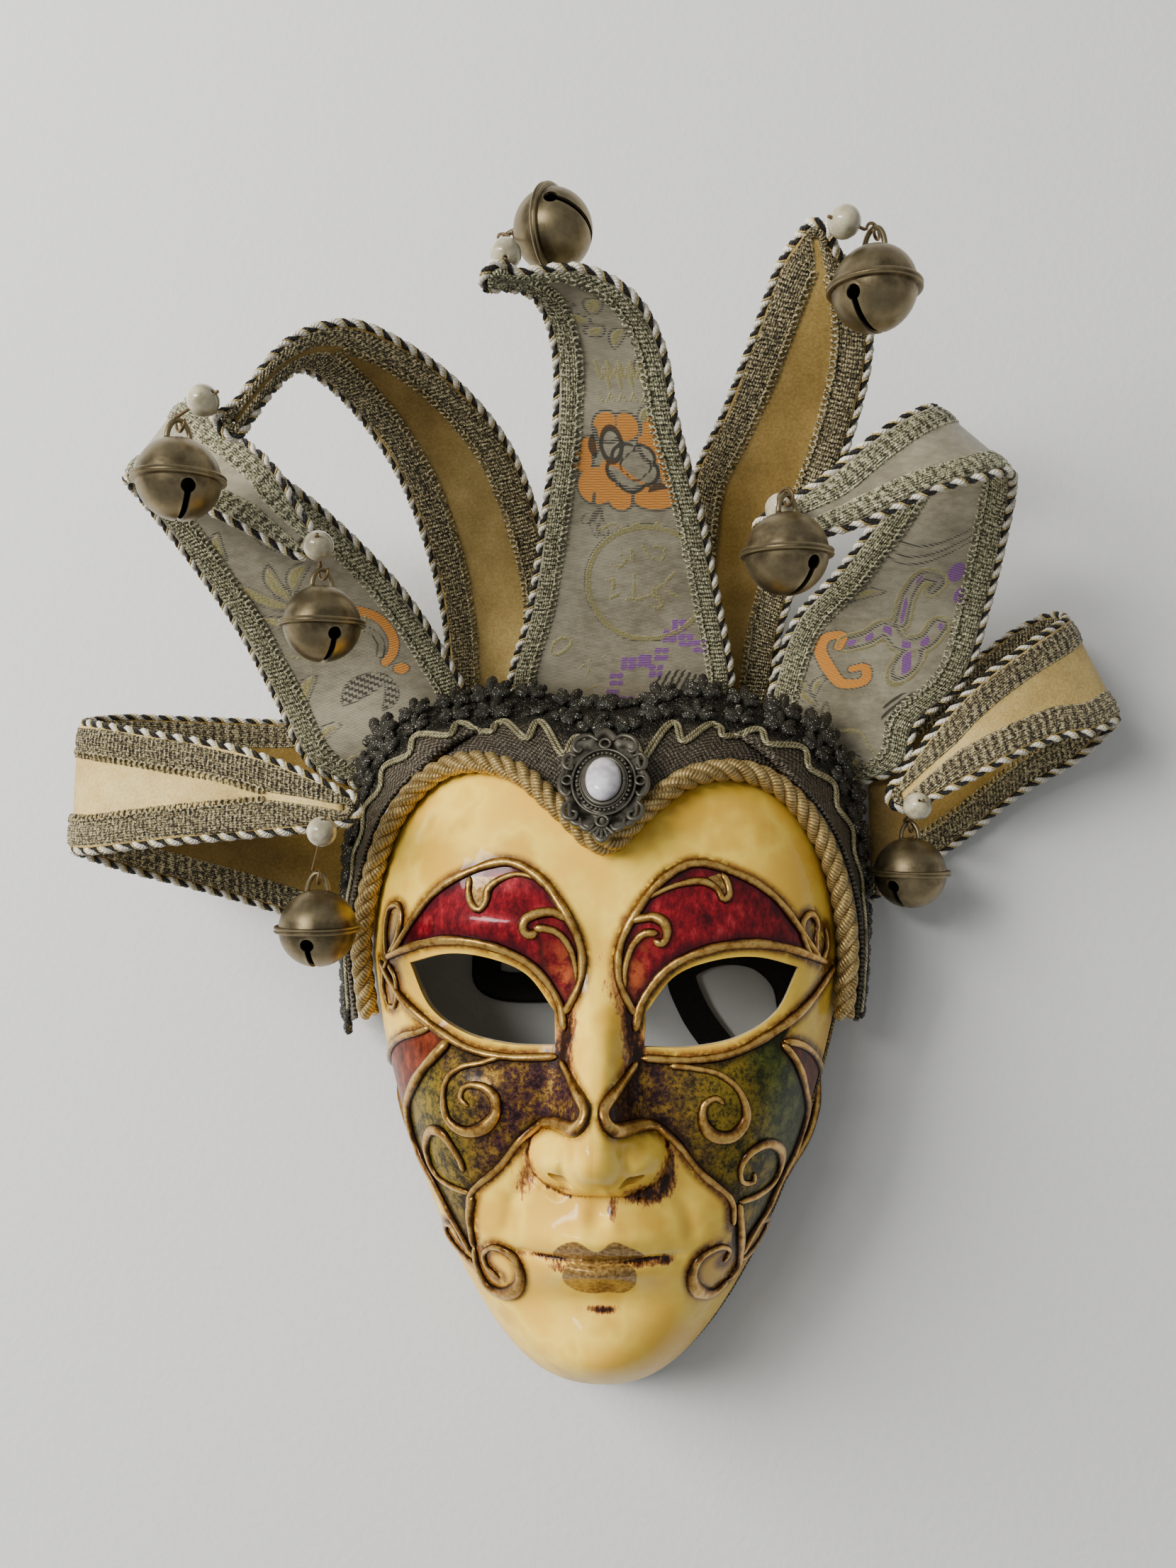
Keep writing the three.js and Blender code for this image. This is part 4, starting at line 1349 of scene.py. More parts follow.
@dataclass(frozen=True)
class PipedLine:
    """A line of gold paste piped on the face.

    Attributes:
        route: Points as seen from the front.
        start: Radius at its first point.
        end: Radius at its last point.
        belly: What its radius gains where it is thickest.
        thickest: Where that is, as a share of its length.
    """

    route: Route
    start: float = 1.5
    end: float = 1.5
    belly: float = 0.2
    thickest: float = 0.5

    def curve(self, spacing: float = 1.0) -> Array:
        """Evenly spaced points of the line."""
        return flat_curve(self.route, spacing)


@dataclass
class PaintedFace:
    """Shell of the face: its form, eye holes, nostrils, piped gold lines and paint."""

    segments: int = 384
    rings: int = 136
    inner_rings: int = 40
    eye_upper: tuple = ((63.5, 7.5), (50, 10.5), (37, 9.5), (24, 4.5), (14.6, -7))
    eye_lower: tuple = ((14.2, -17.5), (29, -17.5), (44, -14.5), (56, -7), (63.5, 7.5))
    brow: tuple = (
        (71, 10), (55, 30), (43, 37), (30, 40), (20, 35), (12, 25), (6.5, 14), (6, 3), (11, -8),
    )
    lid: tuple = ((74, 9), (60, 13.5), (48, 15), (34, 13), (21.5, 7), (13, -4), (11, -13))
    under_eye: tuple = ((77, 8), (66, -5), (56, -12.5), (42, -19.5), (29, -21.5), (13, -21))
    nose: tuple = (
        (12, -22), (6.5, -29), (2.6, -35), (5, -40), (17, -41), (23, -45), (31, -55), (41, -65), (42, -74),
    )
    left_edge: tuple = (
        (-48.9, -17.2), (-52.5, -21.2), (-57.5, -26.4), (-62.3, -33), (-65.2, -39), (-64.9, -47.2),
        (-61.5, -56.2), (-55.7, -64.3), (-49.9, -73.5), (-44.9, -80.8), (-41.5, -86),
    )
    right_edge: tuple = (
        (57.7, -16.9), (61.4, -21), (64.3, -26.3), (66.6, -33.2), (68, -40), (66.5, -48),
        (63.3, -55.8), (57.9, -63.6), (53.7, -72.4), (48.3, -79.4), (44.8, -86),
    )
    left_outer: tuple = (
        (-55.5, -13.1), (-60.5, -15.1), (-67, -16.9), (-73.2, -21.4), (-78.5, -30), (-79.5, -39.6),
        (-77, -50.8), (-71.5, -63), (-64, -75), (-57, -84),
    )
    right_outer: tuple = (
        (58.2, -16), (64.2, -17.3), (69.8, -21.5), (74.5, -30), (75.2, -40), (72.5, -52), (67, -62),
        (61, -72), (55, -82),
    )

    def lines(self) -> list[PipedLine]:
        """Every gold line of the face."""
        both = (
            (self.brow, 1.4, 0.3, 0.6), (self.lid, 1.5, 0.2, 0.4), (self.under_eye, 1.4, 0.3, 0.3),
            (self.nose, 1.15, 1.2, 0.3),
        )
        made = [
            PipedLine(tuple((side * x, y) for x, y in route), wide, wide, belly, thickest)
            for side in (-1, 1)
            for route, wide, belly, thickest in both
        ]
        drawn = (
            (self.left_edge, 2.1, 1.3),
            (self.right_edge, 1.5, 1.5),
            (self.left_outer, 1.4, 1.1),
            (self.right_outer, 1.4, 1.1),
            (((-20.7, 34.9), (-27.2, 36.1), (-32.8, 34.3), (-36.2, 31.3), (-36.9, 27.1),
              (-38.8, 24.5), (-41, 25.6), (-42.9, 29.6), (-42.8, 35.5)), 0.9, 1.2, 0.4),
            (((-10.4, 21.5), (-14.8, 23.8), (-20.2, 23.3), (-23.7, 21.5), (-24.4, 18.8),
              (-22.5, 16.9), (-19.7, 17.6)), 1.4, 1.7, 0.4),
            (((-21, 19), (-16.1, 18.6), (-12.3, 16.6), (-9.3, 12.2), (-7.8, 7),
              (-7.4, 2.2)), 1.5, 0.8),
            (((-73.2, 9.5), (-74.1, 16.2), (-73.8, 21.4), (-72.2, 26), (-68.7, 26.4), (-67.3, 22.8),
              (-68.1, 17.2), (-70.4, 12.6), (-72.5, 10)), 1.2, 1.2),
            (((-72.8, 8.4), (-75, 3.7), (-75.3, -1.6), (-73.6, -6.7)), 1.2, 0.8),
            (((-72.6, 6.9), (-69.6, 2.9), (-68.8, -3.2), (-70.5, -7.4), (-73.6, -6.7)), 1.1, 0.8),
            (((14.9, 28.5), (20.3, 31.4), (27.1, 33.7), (33, 34.1), (36.9, 31.7), (38.8, 28.3),
              (40.6, 29.8), (40.3, 33.7), (38.4, 37.1)), 0.9, 1.2, 0.4),
            (((8.8, 21.2), (12.6, 22.1), (17.4, 22.6), (20.5, 20.5), (21.1, 16.9), (19.4, 14.5),
              (17, 15.7)), 1.4, 1.6, 0.4),
            (((18.4, 17.8), (14, 17.6), (10.6, 14.4), (8.7, 10), (7.8, 5.2), (7.9, 0.4)), 1.5, 0.8),
            (((68, 10.4), (66.2, 13.6), (64.6, 18.5), (65.3, 23), (68.1, 24.8), (70, 21.7),
              (69.6, 16.6), (69.4, 11)), 1.2, 1.2),
            (((71.6, 9), (73.6, 14.7), (73.2, 20.8)), 1.2, 0.8),
            (((-30.2, -20.9), (-36.9, -23.4), (-44, -25.1), (-48.5, -29.1), (-49.4, -35.9),
              (-47.6, -41.5), (-42.4, -44.4), (-36.2, -43), (-32.2, -38.6), (-32.8, -33),
              (-37.4, -30.3), (-42.5, -31), (-43.4, -34.4), (-40.7, -36.6)), 1.1, 0.9, 1.3, 0.62),
            (((21.8, -23.2), (29.9, -24), (37.6, -25.8), (42.8, -30), (45.2, -35), (45.2, -39.5),
              (41.3, -44.1), (35.6, -43.9), (32.3, -40.1), (32.7, -34.5), (36.5, -32.7),
              (38.6, -34.5)), 1.1, 0.9, 1.4, 0.66),
            (((-41.4, -64.6), (-47.7, -63.7), (-53.9, -61.4), (-56.8, -56.8), (-57.3, -50.4),
              (-54.8, -45.9), (-50.4, -45.9), (-47.1, -49.5), (-44.1, -54.2),
              (-43.2, -57.7)), 1.1, 1.3, 0.7, 0.62),
            (((43.7, -66.2), (50.4, -65.1), (55.4, -62.3), (57.9, -56.4), (57, -50.5),
              (52.5, -47.9), (46.9, -50.1), (44, -54.9), (44.8, -59.7), (48.1, -60.2),
              (48.6, -57.2)), 1.2, 1.0, 0.9, 0.5),
            (((-40.3, -65.4), (-41.7, -71.3), (-41.5, -77.6), (-40.8, -83)), 1.6, 1.3),
            (((43.7, -66.8), (44.3, -74.4), (44.6, -82.5), (43.8, -89.7), (40.7, -93.8)), 1.6, 1.5),
            (((-40.8, -82.8), (-40.2, -89.5), (-36.8, -95.9), (-31.1, -97), (-26, -93.7),
              (-25, -86.8), (-28, -82.2), (-33.3, -81.1), (-37.3, -84.1), (-36.5, -88.3),
              (-32.3, -91.7)), 1.3, 1, 1.1, 0.4),
            (((40.7, -93.8), (35.1, -96.9), (30, -93.6), (29, -87.2), (31.9, -82.4), (37.8, -80.4),
              (40.9, -82.3), (38.9, -86.2)), 1.4, 0.9, 1.2, 0.35),
            (((44.8, -88), (49.2, -86.5), (53.6, -82.5), (55, -77.5), (51.8, -76),
              (48.9, -80)), 1.2, 1.1),
            (((-42, -89), (-46.9, -87), (-51.9, -83.5), (-53, -79), (-48.6, -78.2),
              (-45.6, -83)), 1.2, 1.1),
        )
        return made + [PipedLine(*row) for row in drawn]

    def build(self) -> None:
        """Makes the shell and its gold lines."""
        shell = self._shell()
        for side in (-1, 1):
            cut(shell, self._eye_tool(side))
            cut(shell, self._nostril_tool(side))
        self._paint(shell)
        shell.data.set_sharp_from_angle(angle=math.radians(62))
        settle(shell, Finishes.FACE, "face_shell")
        settle(self._gold(), Finishes.GILDING)

    def _shell(self) -> Piece:
        """The closed wall: front rings from the middle out, back rings in again."""
        angles = turns(self.segments)
        rim = FORM.reach(FORM.grid_centre, angles)
        steps = np.arange(1, self.rings + 1) / self.rings
        shares = np.sin(steps**1.25 * math.pi / 2) ** 1.15
        rows = [self._ring(rim * share, angles, FORM.height) for share in shares]
        steps = np.arange(self.inner_rings, 0, -1) / self.inner_rings
        scale = 1 - FORM.wall / FORM.half_width
        for share in np.sin(steps**1.25 * math.pi / 2) ** 1.15:
            rows.append(self._ring(rim * share * scale, angles, FORM.hollow))
        rows[self.rings - 1][:, 2] = 0
        rows[self.rings][:, 2] = 0
        return solid(rows, "painted_face", Finishes.FACE)

    @staticmethod
    def _ring(reach: Array, angles: Array, height: Callable[[Array, Array], Array]) -> Array:
        """One closed ring of points at a height given by a function."""
        x = FORM.grid_centre[0] + reach * np.cos(angles)
        y = FORM.grid_centre[1] + reach * np.sin(angles)
        return np.stack([x, y, np.maximum(height(x, y), 0)], -1)

    def eye_outline(self, side: int) -> Array:
        """Outline of an eye hole, counted round from its outer corner."""
        upper = Path([(side * x, y, 0) for x, y in self.eye_upper]).even(1.0)
        lower = Path([(side * x, y, 0) for x, y in self.eye_lower]).even(1.0)
        return np.vstack([upper, lower[:-1]])

    def _eye_tool(self, side: int) -> Piece:
        """A prism through an eye hole, a little wider at the front."""
        outline = self.eye_outline(side)
        middle = outline.mean(0)
        wider = middle + (outline - middle) * 1.03
        rows = [outline + (0, 0, -5), outline + (0, 0, 50), wider + (0, 0, 120)]
        return solid(rows, "eye_tool", Finishes.FACE)

    @staticmethod
    def _nostril_tool(side: int) -> Piece:
        """A slanted oval plug for a nostril."""
        ring = oval(turns(24), 4.1, 2.4)
        turn = Matrix.Rotation(math.radians(50), 3, "X")
        turn = turn @ Matrix.Rotation(math.radians(side * 22), 3, "Z")
        base = np.array([side * 10.8, -56.0, float(FORM.height(np.array(10.8), np.array(-56.0)))])
        rows = [(ring + (0, 0, depth)) @ np.array(turn).T + base for depth in (-9, 9)]
        return solid(rows, "nostril_tool", Finishes.FACE)

    def _gold(self) -> Piece:
        """The piped lines, half sunk in the face."""
        draft = MeshDraft()
        for line in self.lines():
            flat = line.curve(1.0)
            share = np.linspace(0, 1, len(flat))
            radius = line.start + (line.end - line.start) * share
            radius = radius + line.belly * np.exp(-(((share - line.thickest) / 0.2) ** 2))
            knots = np.arange(0, len(flat) + 12, 6)
            wobbles = 1 + 0.11 * np.sin(np.arange(len(knots)) * 2.4 + len(flat))
            wobble = np.interp(share * len(flat), knots, wobbles)
            tips = np.minimum(1, np.sqrt(np.minimum(share, 1 - share) * len(flat) / 1.6 + 0.08))
            up = FORM.normal(flat[:, 0], flat[:, 1])
            middle = FORM.on_face(flat, 0.25)
            middle[:, 2] = np.maximum(middle[:, 2], radius + 0.5)
            draft.add_tube(middle, radius * tips * wobble, 10, up, 0.85)
        return draft.object("piped_gold_lines", Finishes.GILDING)

    def _paint(self, shell: Piece) -> None:
        """Gives the shell the values that its finish reads."""
        points = read_points(shell.data)
        flat = points[:, :2]
        side = np.where(flat[:, 0] < 0, -1.0, 1.0)
        folded = np.stack([np.abs(flat[:, 0]), flat[:, 1]], -1)
        curved = functools.partial(flat_curve, spacing=1.5)
        red = depth_inside(np.vstack([curved(self.brow), curved(self.lid)[::-1]]), folded)
        corner = ((42, -74), (41.6, -80), (43, -86))
        inner = np.vstack([curved(self.under_eye)[14:], curved(self.nose), curved(corner)])
        cheeks, drops = [], []
        edges = ((-1, self.left_edge, self.left_outer), (1, self.right_edge, self.right_outer))
        for mirror, edge, outer in edges:
            border = curved(edge)
            cheeks.append(depth_inside(np.vstack([inner * (mirror, 1), border[::-1]]), flat))
            drops.append(depth_inside(np.vstack([border[:38], curved(outer)[:40][::-1]]), flat))
        lips = (
            (-14.5, -80.8), (-11.4, -77.2), (-6, -75.2), (0, -78.4), (5, -74.9), (9.4, -76.6),
            (14.5, -80.4), (9.5, -82), (0, -82.6), (-9.5, -82.2),
        )
        below = (
            (-9.5, -83.2), (-11, -86.5), (-10.6, -90), (-7, -93), (-1.5, -94), (3, -93.2),
            (7.5, -93.6), (11, -91), (12, -87.5), (11, -83.8), (0, -83.2),
        )
        filled = [curved((*lip, lip[0])) for lip in (lips, below)]
        hooks = (line.route for line in self.lines() if line.belly == 0.4 and line.route[0][1] > 25)
        filled += map(np.array, hooks)
        gilt = union(*(depth_inside(outline, flat) for outline in filled))
        gaps = [distance_to_line(line.curve(2.5), flat) for line in self.lines()]
        heart = Path(HeartRope.ROUTE_3D).even(4)[:, :2]
        rope_gap = distance_to_line(heart, flat)
        height = FORM.height(flat[:, 0], flat[:, 1])
        sunk = height - points[:, 2]
        spread = FORM.spread(flat[:, 0], flat[:, 1])
        near_rim = spread >= FORM.rim_spread
        on_back = smoothstep(sunk, 2.1, 2.6) * ~near_rim + near_rim * (points[:, 2] < 0.4)
        past_rope = (rope_gap > 6) * (flat[:, 1] > 14) * (spread > 0.6)
        on_back = on_back + past_rope * (depth_inside(heart, flat) < 0)
        values = {
            "red": red,
            "cheek": union(*cheeks),
            "drop": union(*drops),
            "gilt": gilt,
            "line": np.minimum.reduce([*gaps, rope_gap * 1.6 - 2]),
            "grime": self._hollow_patina_and_shade(flat),
            "ember": np.exp(-(((folded[:, 0] - 10) / 6) ** 2) - ((flat[:, 1] - 2) / 12) ** 2),
            "outward": folded[:, 0] / 62 * np.where(side > 0, 1.12, 0.74),
            "inside": np.clip(on_back, 0, 1),
        }
        for name, numbers in values.items():
            write_value(shell.data, name, numbers)

    @staticmethod
    def _hollow_patina_and_shade(flat: Array) -> Array:
        """Brown patina and painted shade in the face's hollows, from 0 to 1."""
        # Patches of painted shade with brown patina: under and beside the nose, beside its bridge, at the
        # lips' corners, under the lower lip and in the chin's crease.
        spots = (
            (-12, -60, 6, 2.2, 0.6), (14, -62, 7, 3.6, 0.95), (21, -57, 3.6, 5.5, 0.8),
            (-21.5, -54, 3, 7, 0.62), (22.5, -49, 2, 5, 0.6), (4.5, -66.5, 2.4, 3.4, 0.62),
            (9.8, -8, 3.4, 13, 1.0), (-9.8, -10, 3.0, 13, 0.9), (9, 14, 3, 8, 0.6),
            (-9, 12, 2.4, 6, 0.45), (4, 2, 4, 8, 0.5), (0, 12, 2.5, 4, 0.3),
            (1, -99.5, 4, 1.2, 0.75), (-1, -99, 14, 1.6, 0.4), (-24.5, -82, 2.6, 1.4, 0.7),
            (20.8, -82, 2.4, 1.8, 0.8), (14, -83, 7.5, 1.5, 0.75), (-12, -84.6, 6, 1.8, 0.7),
            (-24, -62, 3, 5, 0.35), (12.8, -22, 3, 8, 0.95), (-12.8, -22, 3, 8, 0.85),
            (8.6, -28, 3, 6, 0.6), (-8.6, -28, 3, 6, 0.55), (-30, -56, 5, 7, 0.25),
            (33, -60, 4, 8, 0.25),
        )
        total = np.zeros(len(flat))
        for x, y, wide, high, amount in spots:
            off = ((flat[:, 0] - x) / wide) ** 2 + ((flat[:, 1] - y) / high) ** 2
            total = total + amount * np.exp(-off)
        x, y = flat.T
        # Painted shade along the line between the lips and round the nose's wings.
        parting = np.exp(-(((y - FORM.mouth(x)) / 0.75) ** 2)) * (1 - smoothstep(np.abs(x), 17, 25))
        folded = np.stack([np.abs(x), y], -1)
        wing = np.array(((20.5, -43.5), (22.2, -50), (20.4, -56.4), (15.4, -60.4), (8.6, -62.8)))
        round_nose = np.exp(-((distance_to_line(wing, folded) / 0.95) ** 2)) * 0.85
        return np.clip(union(total, parting * 1.2, round_nose), 0, 1.3)


# Rope, lace and braid round the face


@dataclass
class HeartRope:
    """Twisted gold rope round the heart-shaped edge of the bare face."""

    ROUTE = (
        (-79.5, -10), (-81, 14), (-76.5, 37), (-69, 56), (-56, 69), (-43, 72), (-27, 67.5),
        (-13, 56), (1.5, 45), (13, 55), (27, 66), (43, 69), (55, 65), (66.5, 53), (74, 36),
        (77.3, 14), (76.2, -8),
    )
    RADIUS = 3.75
    ROUTE_3D = FORM.on_face(np.array(ROUTE), RADIUS + 0.9)

    pitch: float = 18.0

    def build(self) -> None:
        """Makes the rope."""
        tree = TwistedCord("heart_rope_lay", [(1.95, 1.95, k / 3, 0) for k in range(3)], 14)
        line = Path(self.ROUTE_3D).even(2.0)
        rope = cord_along("gold_rope", Finishes.ROPE, tree, line, self.pitch, 1.1)
        settle(rope, Finishes.ROPE, "heart_rope")


@dataclass
class LaceTrim:
    """Dark lace round the forehead with its knobbed edge, and the cord sewn on it."""

    outline: tuple = (
        (-97, -15), (-98, 12), (-99, 42), (-96, 70), (-90, 86), (-78, 99), (-57, 106), (-30, 111.5),
        (0, 104), (30, 111.5), (57, 104), (74, 95), (85, 82), (90, 64), (91.5, 40), (90, 12),
        (88, -12),
    )
    thickness: float = 1.6
    lift: float = 2.2
    temple_height: float = 12.0
    top_height: float = 25.5
    columns: int = 420
    knob_spacing: float = 14.0
    waves: int = 21
    cord_place: float = 0.41

    def point(self, along: Array, out: Array) -> Array:
        """Middle of the lace: along 0 to 1 between temples, out 0 at the rope to 1 at the edge."""
        rope = Path(HeartRope.ROUTE_3D).at(along)
        edge = Path([(x, y, 0) for x, y in self.outline]).at(along)
        away = edge[:, :2] - rope[:, :2]
        width = np.linalg.norm(away, axis=1)
        away = away / width[:, None]
        start = HeartRope.RADIUS + 1.5
        angles = np.arctan2(away[:, 1], away[:, 0])
        to_rim = FORM.reach(rope.T, angles, FORM.rim_spread, 60.0, 30)
        reach = start + (width - start) * out
        flat = rope[:, :2] + away * reach[:, None]
        up = smoothstep(flat[:, 1], 50, 95)
        free = self.temple_height + (self.top_height - self.temple_height) * up
        share = np.clip((reach - start) / (width - start), 0, 1)
        hung = (rope[:, 2] - 3) * (1 - share) + free * share
        on = FORM.on_face(flat, self.lift)
        loose = np.concatenate([flat, hung[:, None]], 1)
        past_rim = smoothstep(reach - to_rim, -1.5, 1.5)
        bridged = smoothstep(hung - on[:, 2], -3, 1) * smoothstep(reach - to_rim, -9, -6)
        mixed = np.maximum(past_rim, bridged)[:, None]
        return on * (1 - mixed) + loose * mixed

    def surface(self, along: Array, out: Array) -> tuple[Array, Array, Array]:
        """Points, normals and directions along the lace."""
        here = self.point(along, out)
        step = 1 / self.columns
        before, after = np.maximum(along - step, 0), np.minimum(along + step, 1)
        ahead = unit(self.point(after, out) - self.point(before, out))
        outwards = unit(self.point(along, out + 0.03) - self.point(along, out - 0.03))
        return here, unit(np.cross(ahead, outwards)), ahead

    def build(self) -> None:
        """Makes the band, its knobs and the wavy cord."""
        settle(self._band(), Finishes.LACE, "lace_band")
        settle(self._knobs(), Finishes.LACE_KNOBS)
        settle(self._cord(), Finishes.SOUTACHE, "wavy_cord")

    def _band(self) -> Piece:
        """The knitted band, ribbed across, with a gently waved edge."""
        along = np.linspace(0, 1, self.columns)
        line_length = lengths_along(self.point(along, np.full(self.columns, 0.5)))
        outs = np.linspace(0, 0.86, 26)
        grid, normals = [], []
        for out in outs:
            wave = 0.03 * np.cos(line_length * TURN / self.knob_spacing) * max(out - 0.6, 0) / 0.4
            here, normal, _ = self.surface(along, np.full(self.columns, out) + wave)
            grid.append(here)
            normals.append(normal)
        grid, normals = np.stack(grid, 1), np.stack(normals, 1)
        width = np.linalg.norm(grid[:, -1] - grid[:, 0], axis=1)
        across = outs[None] * width[:, None]
        ribs = 0.22 * np.sin(line_length[:, None] * TURN / LACE_RIB + 0.8 * np.sin(across * 1.6))
        half = self.thickness / 2
        front = grid + normals * (half + ribs)[..., None]
        back = grid - normals * half
        draft = MeshDraft()
        along = np.repeat(line_length[:, None], len(outs), 1)
        fringe = np.repeat(outs[None], self.columns, 0)
        draft.add_slab(front, back, along=along, across=across, fringe=fringe)
        return draft.object("lace_ground", Finishes.LACE)

    def _knobs(self) -> Piece:
        """Fans of five thick beaded fingers along the free edge."""
        fan = MeshDraft()
        for turn, length in ((-74, 6.0), (-37, 8.8), (0, 11.2), (37, 8.8), (74, 6.0)):
            angle = math.radians(turn)
            away = np.array([math.sin(angle), math.cos(angle), 0])
            tip, root = away * length, away * 0.8
            share = np.linspace(0, 1, 12)[:, None]
            arch = np.array([0, 0, 1.0]) * np.sin(share * math.pi) * 0.8
            line = root * (1 - share) + tip * share + arch
            radius = 1.65 * np.sqrt(np.clip(1 - (share[:, 0] * 2 - 1) ** 6, 0.03, 1))
            radius = radius * (1 + 0.1 * np.cos(np.arange(12) * math.pi))
            fan.add_tube(line, radius, 8)
        rows = [self._fan_row(0.8, 0.5, 1.12), self._fan_row(0.58, 0.0, 0.95)]
        spots, normal, ahead, sizes = (np.concatenate(part) for part in zip(*rows))
        return SetOut("knob_fans").lay(
            "lace_knobs", Finishes.LACE_KNOBS, fan, (spots, normal, ahead), sizes, 0.08, 3
        )

    def _fan_row(self, out: float, shift: float, size: float) -> tuple[Array, ...]:
        """Places, directions and sizes of one row of fans.

        Args:
            out: How far out on the lace the row lies.
            shift: Where its first fan is, as a share of the spacing.
            size: Mean size of a fan.
        """
        dense = np.linspace(0, 1, 2000)
        travelled = lengths_along(self.point(dense, np.full(2000, out)))
        count = int(travelled[-1] / self.knob_spacing)
        shares = np.interp((np.arange(count) + shift) / count * travelled[-1], travelled, dense)
        here, normal, ahead = self.surface(shares, np.full(count, out))
        sizes = size * (1.0 + 0.14 * np.sin(np.arange(count) * 2.1))
        return here + normal * 0.9, normal, ahead, sizes

    def _cord(self) -> Piece:
        """Two gold cords side by side in waves along the lace."""
        draft = MeshDraft()
        dense = np.linspace(0.01, 0.99, 2000)
        travelled = lengths_along(self.point(dense, np.full(2000, self.cord_place)))
        even = np.linspace(0, travelled[-1], 1000)
        share = np.interp(even, travelled, dense)
        for offset in (-0.68, 0.68):
            wave = np.sin(even / travelled[-1] * self.waves * TURN)
            here, normal, _ = self.surface(share, self.cord_place + 0.1 * wave)
            line = here + normal * (self.thickness / 2 + 0.75)
            padded = np.pad(line, ((4, 4), (0, 0)), "edge")
            line = np.mean([padded[k : k + len(line)] for k in range(9)], axis=0)
            along = unit(np.gradient(line, axis=0))
            line = line + np.cross(along, normal) * offset
            draft.add_tube(line, 0.68, 8, normal)
        return draft.object("wavy_soutache", Finishes.SOUTACHE)


def ribbed_strip(
    draft: MeshDraft,
    centre: Array,
    outwards: Array,
    facing: Array,
    inner: Array,
    outer: Array,
    base: float,
) -> None:
    """Adds a braid's strip whose crosswise ribs stand up from its base.

    Args:
        draft: Draft that the strip is added to.
        centre: Points from which the strip's limits are counted.
        outwards: Direction from the centre across the strip.
        facing: Direction out of the strip's face.
        inner: Distance to its inner edge by point.
        outer: Distance to its outer edge by point.
        base: Height of its underside over the centre.
    """
    columns = 10
    share = np.linspace(0, 1, columns)
    reach = inner[:, None] * (1 - share) + outer[:, None] * share
    row = np.arange(len(centre))
    crown = np.sqrt(np.clip(1 - (share * 2 - 1) ** 4, 0, 1)) * 0.85
    ribs = np.where(row % 3 == 0, 0.0, 1.0)[:, None] * 0.38 * crown
    first, second = (0.3 * np.exp(-(((share - middle) / 0.07) ** 2)) for middle in (0.22, 0.78))
    channel = first + second
    rise = base + crown + ribs - channel
    flat = centre[:, None] + outwards[:, None] * reach[..., None]
    top = flat + facing[:, None] * rise[..., None]
    under = (flat + facing[:, None] * (base - 0.2))[:, [-1, 0]]
    across = reach - inner[:, None]
    across = np.concatenate([across, across[:, [-1, 0]]], 1)
    loop = np.concatenate([top, under], 1)
    draft.add_grid(loop, (False, True), True, along=(row / 3 * 1.5)[:, None], across=across)


def picot() -> MeshDraft:
    """One small thread loop of a braid's inner edge."""
    angles = np.linspace(-0.35 * math.pi, 1.35 * math.pi, 9)
    line = np.stack([1.05 * np.cos(angles), 1.15 * np.sin(angles) + 0.2, 0.35 * np.sin(angles)], -1)
    draft = MeshDraft()
    draft.add_tube(line, 0.42, 5)
    return draft


@dataclass
class RimBraid:
    """Braid glued round the rim of the jaw, from temple to temple under the chin."""

    low: float = 0.6
    high: float = 9.0
    start: float = 188.0
    end: float = 352.0

    def build(self) -> None:
        """Makes the braid."""
        angles = np.radians(np.linspace(self.start, self.end, 760))
        reach = FORM.reach((0, FORM.brow), angles) + 0.7
        line = oval(angles, reach, reach, middle=(0, FORM.brow))
        shares = lengths_along(line)
        even = np.linspace(0, shares[-1], int(shares[-1] / 0.45))
        line = np.stack([np.interp(even, shares, line[:, k]) for k in range(3)], -1)
        ahead = unit(np.gradient(line, axis=0))
        facing = np.cross(ahead, (0, 0, 1.0))
        up = np.broadcast_to((0, 0, 1.0), line.shape)
        low, high = np.full(len(line), self.low), np.full(len(line), self.high)
        draft = MeshDraft()
        ribbed_strip(draft, line, up, facing, low, high, 0.1)
        braid = draft.object("rim_gimp_braid", Finishes.RIM_GIMP)
        settle(braid, Finishes.RIM_GIMP, "jaw_rim_braid")


# The brooch and the ribbons


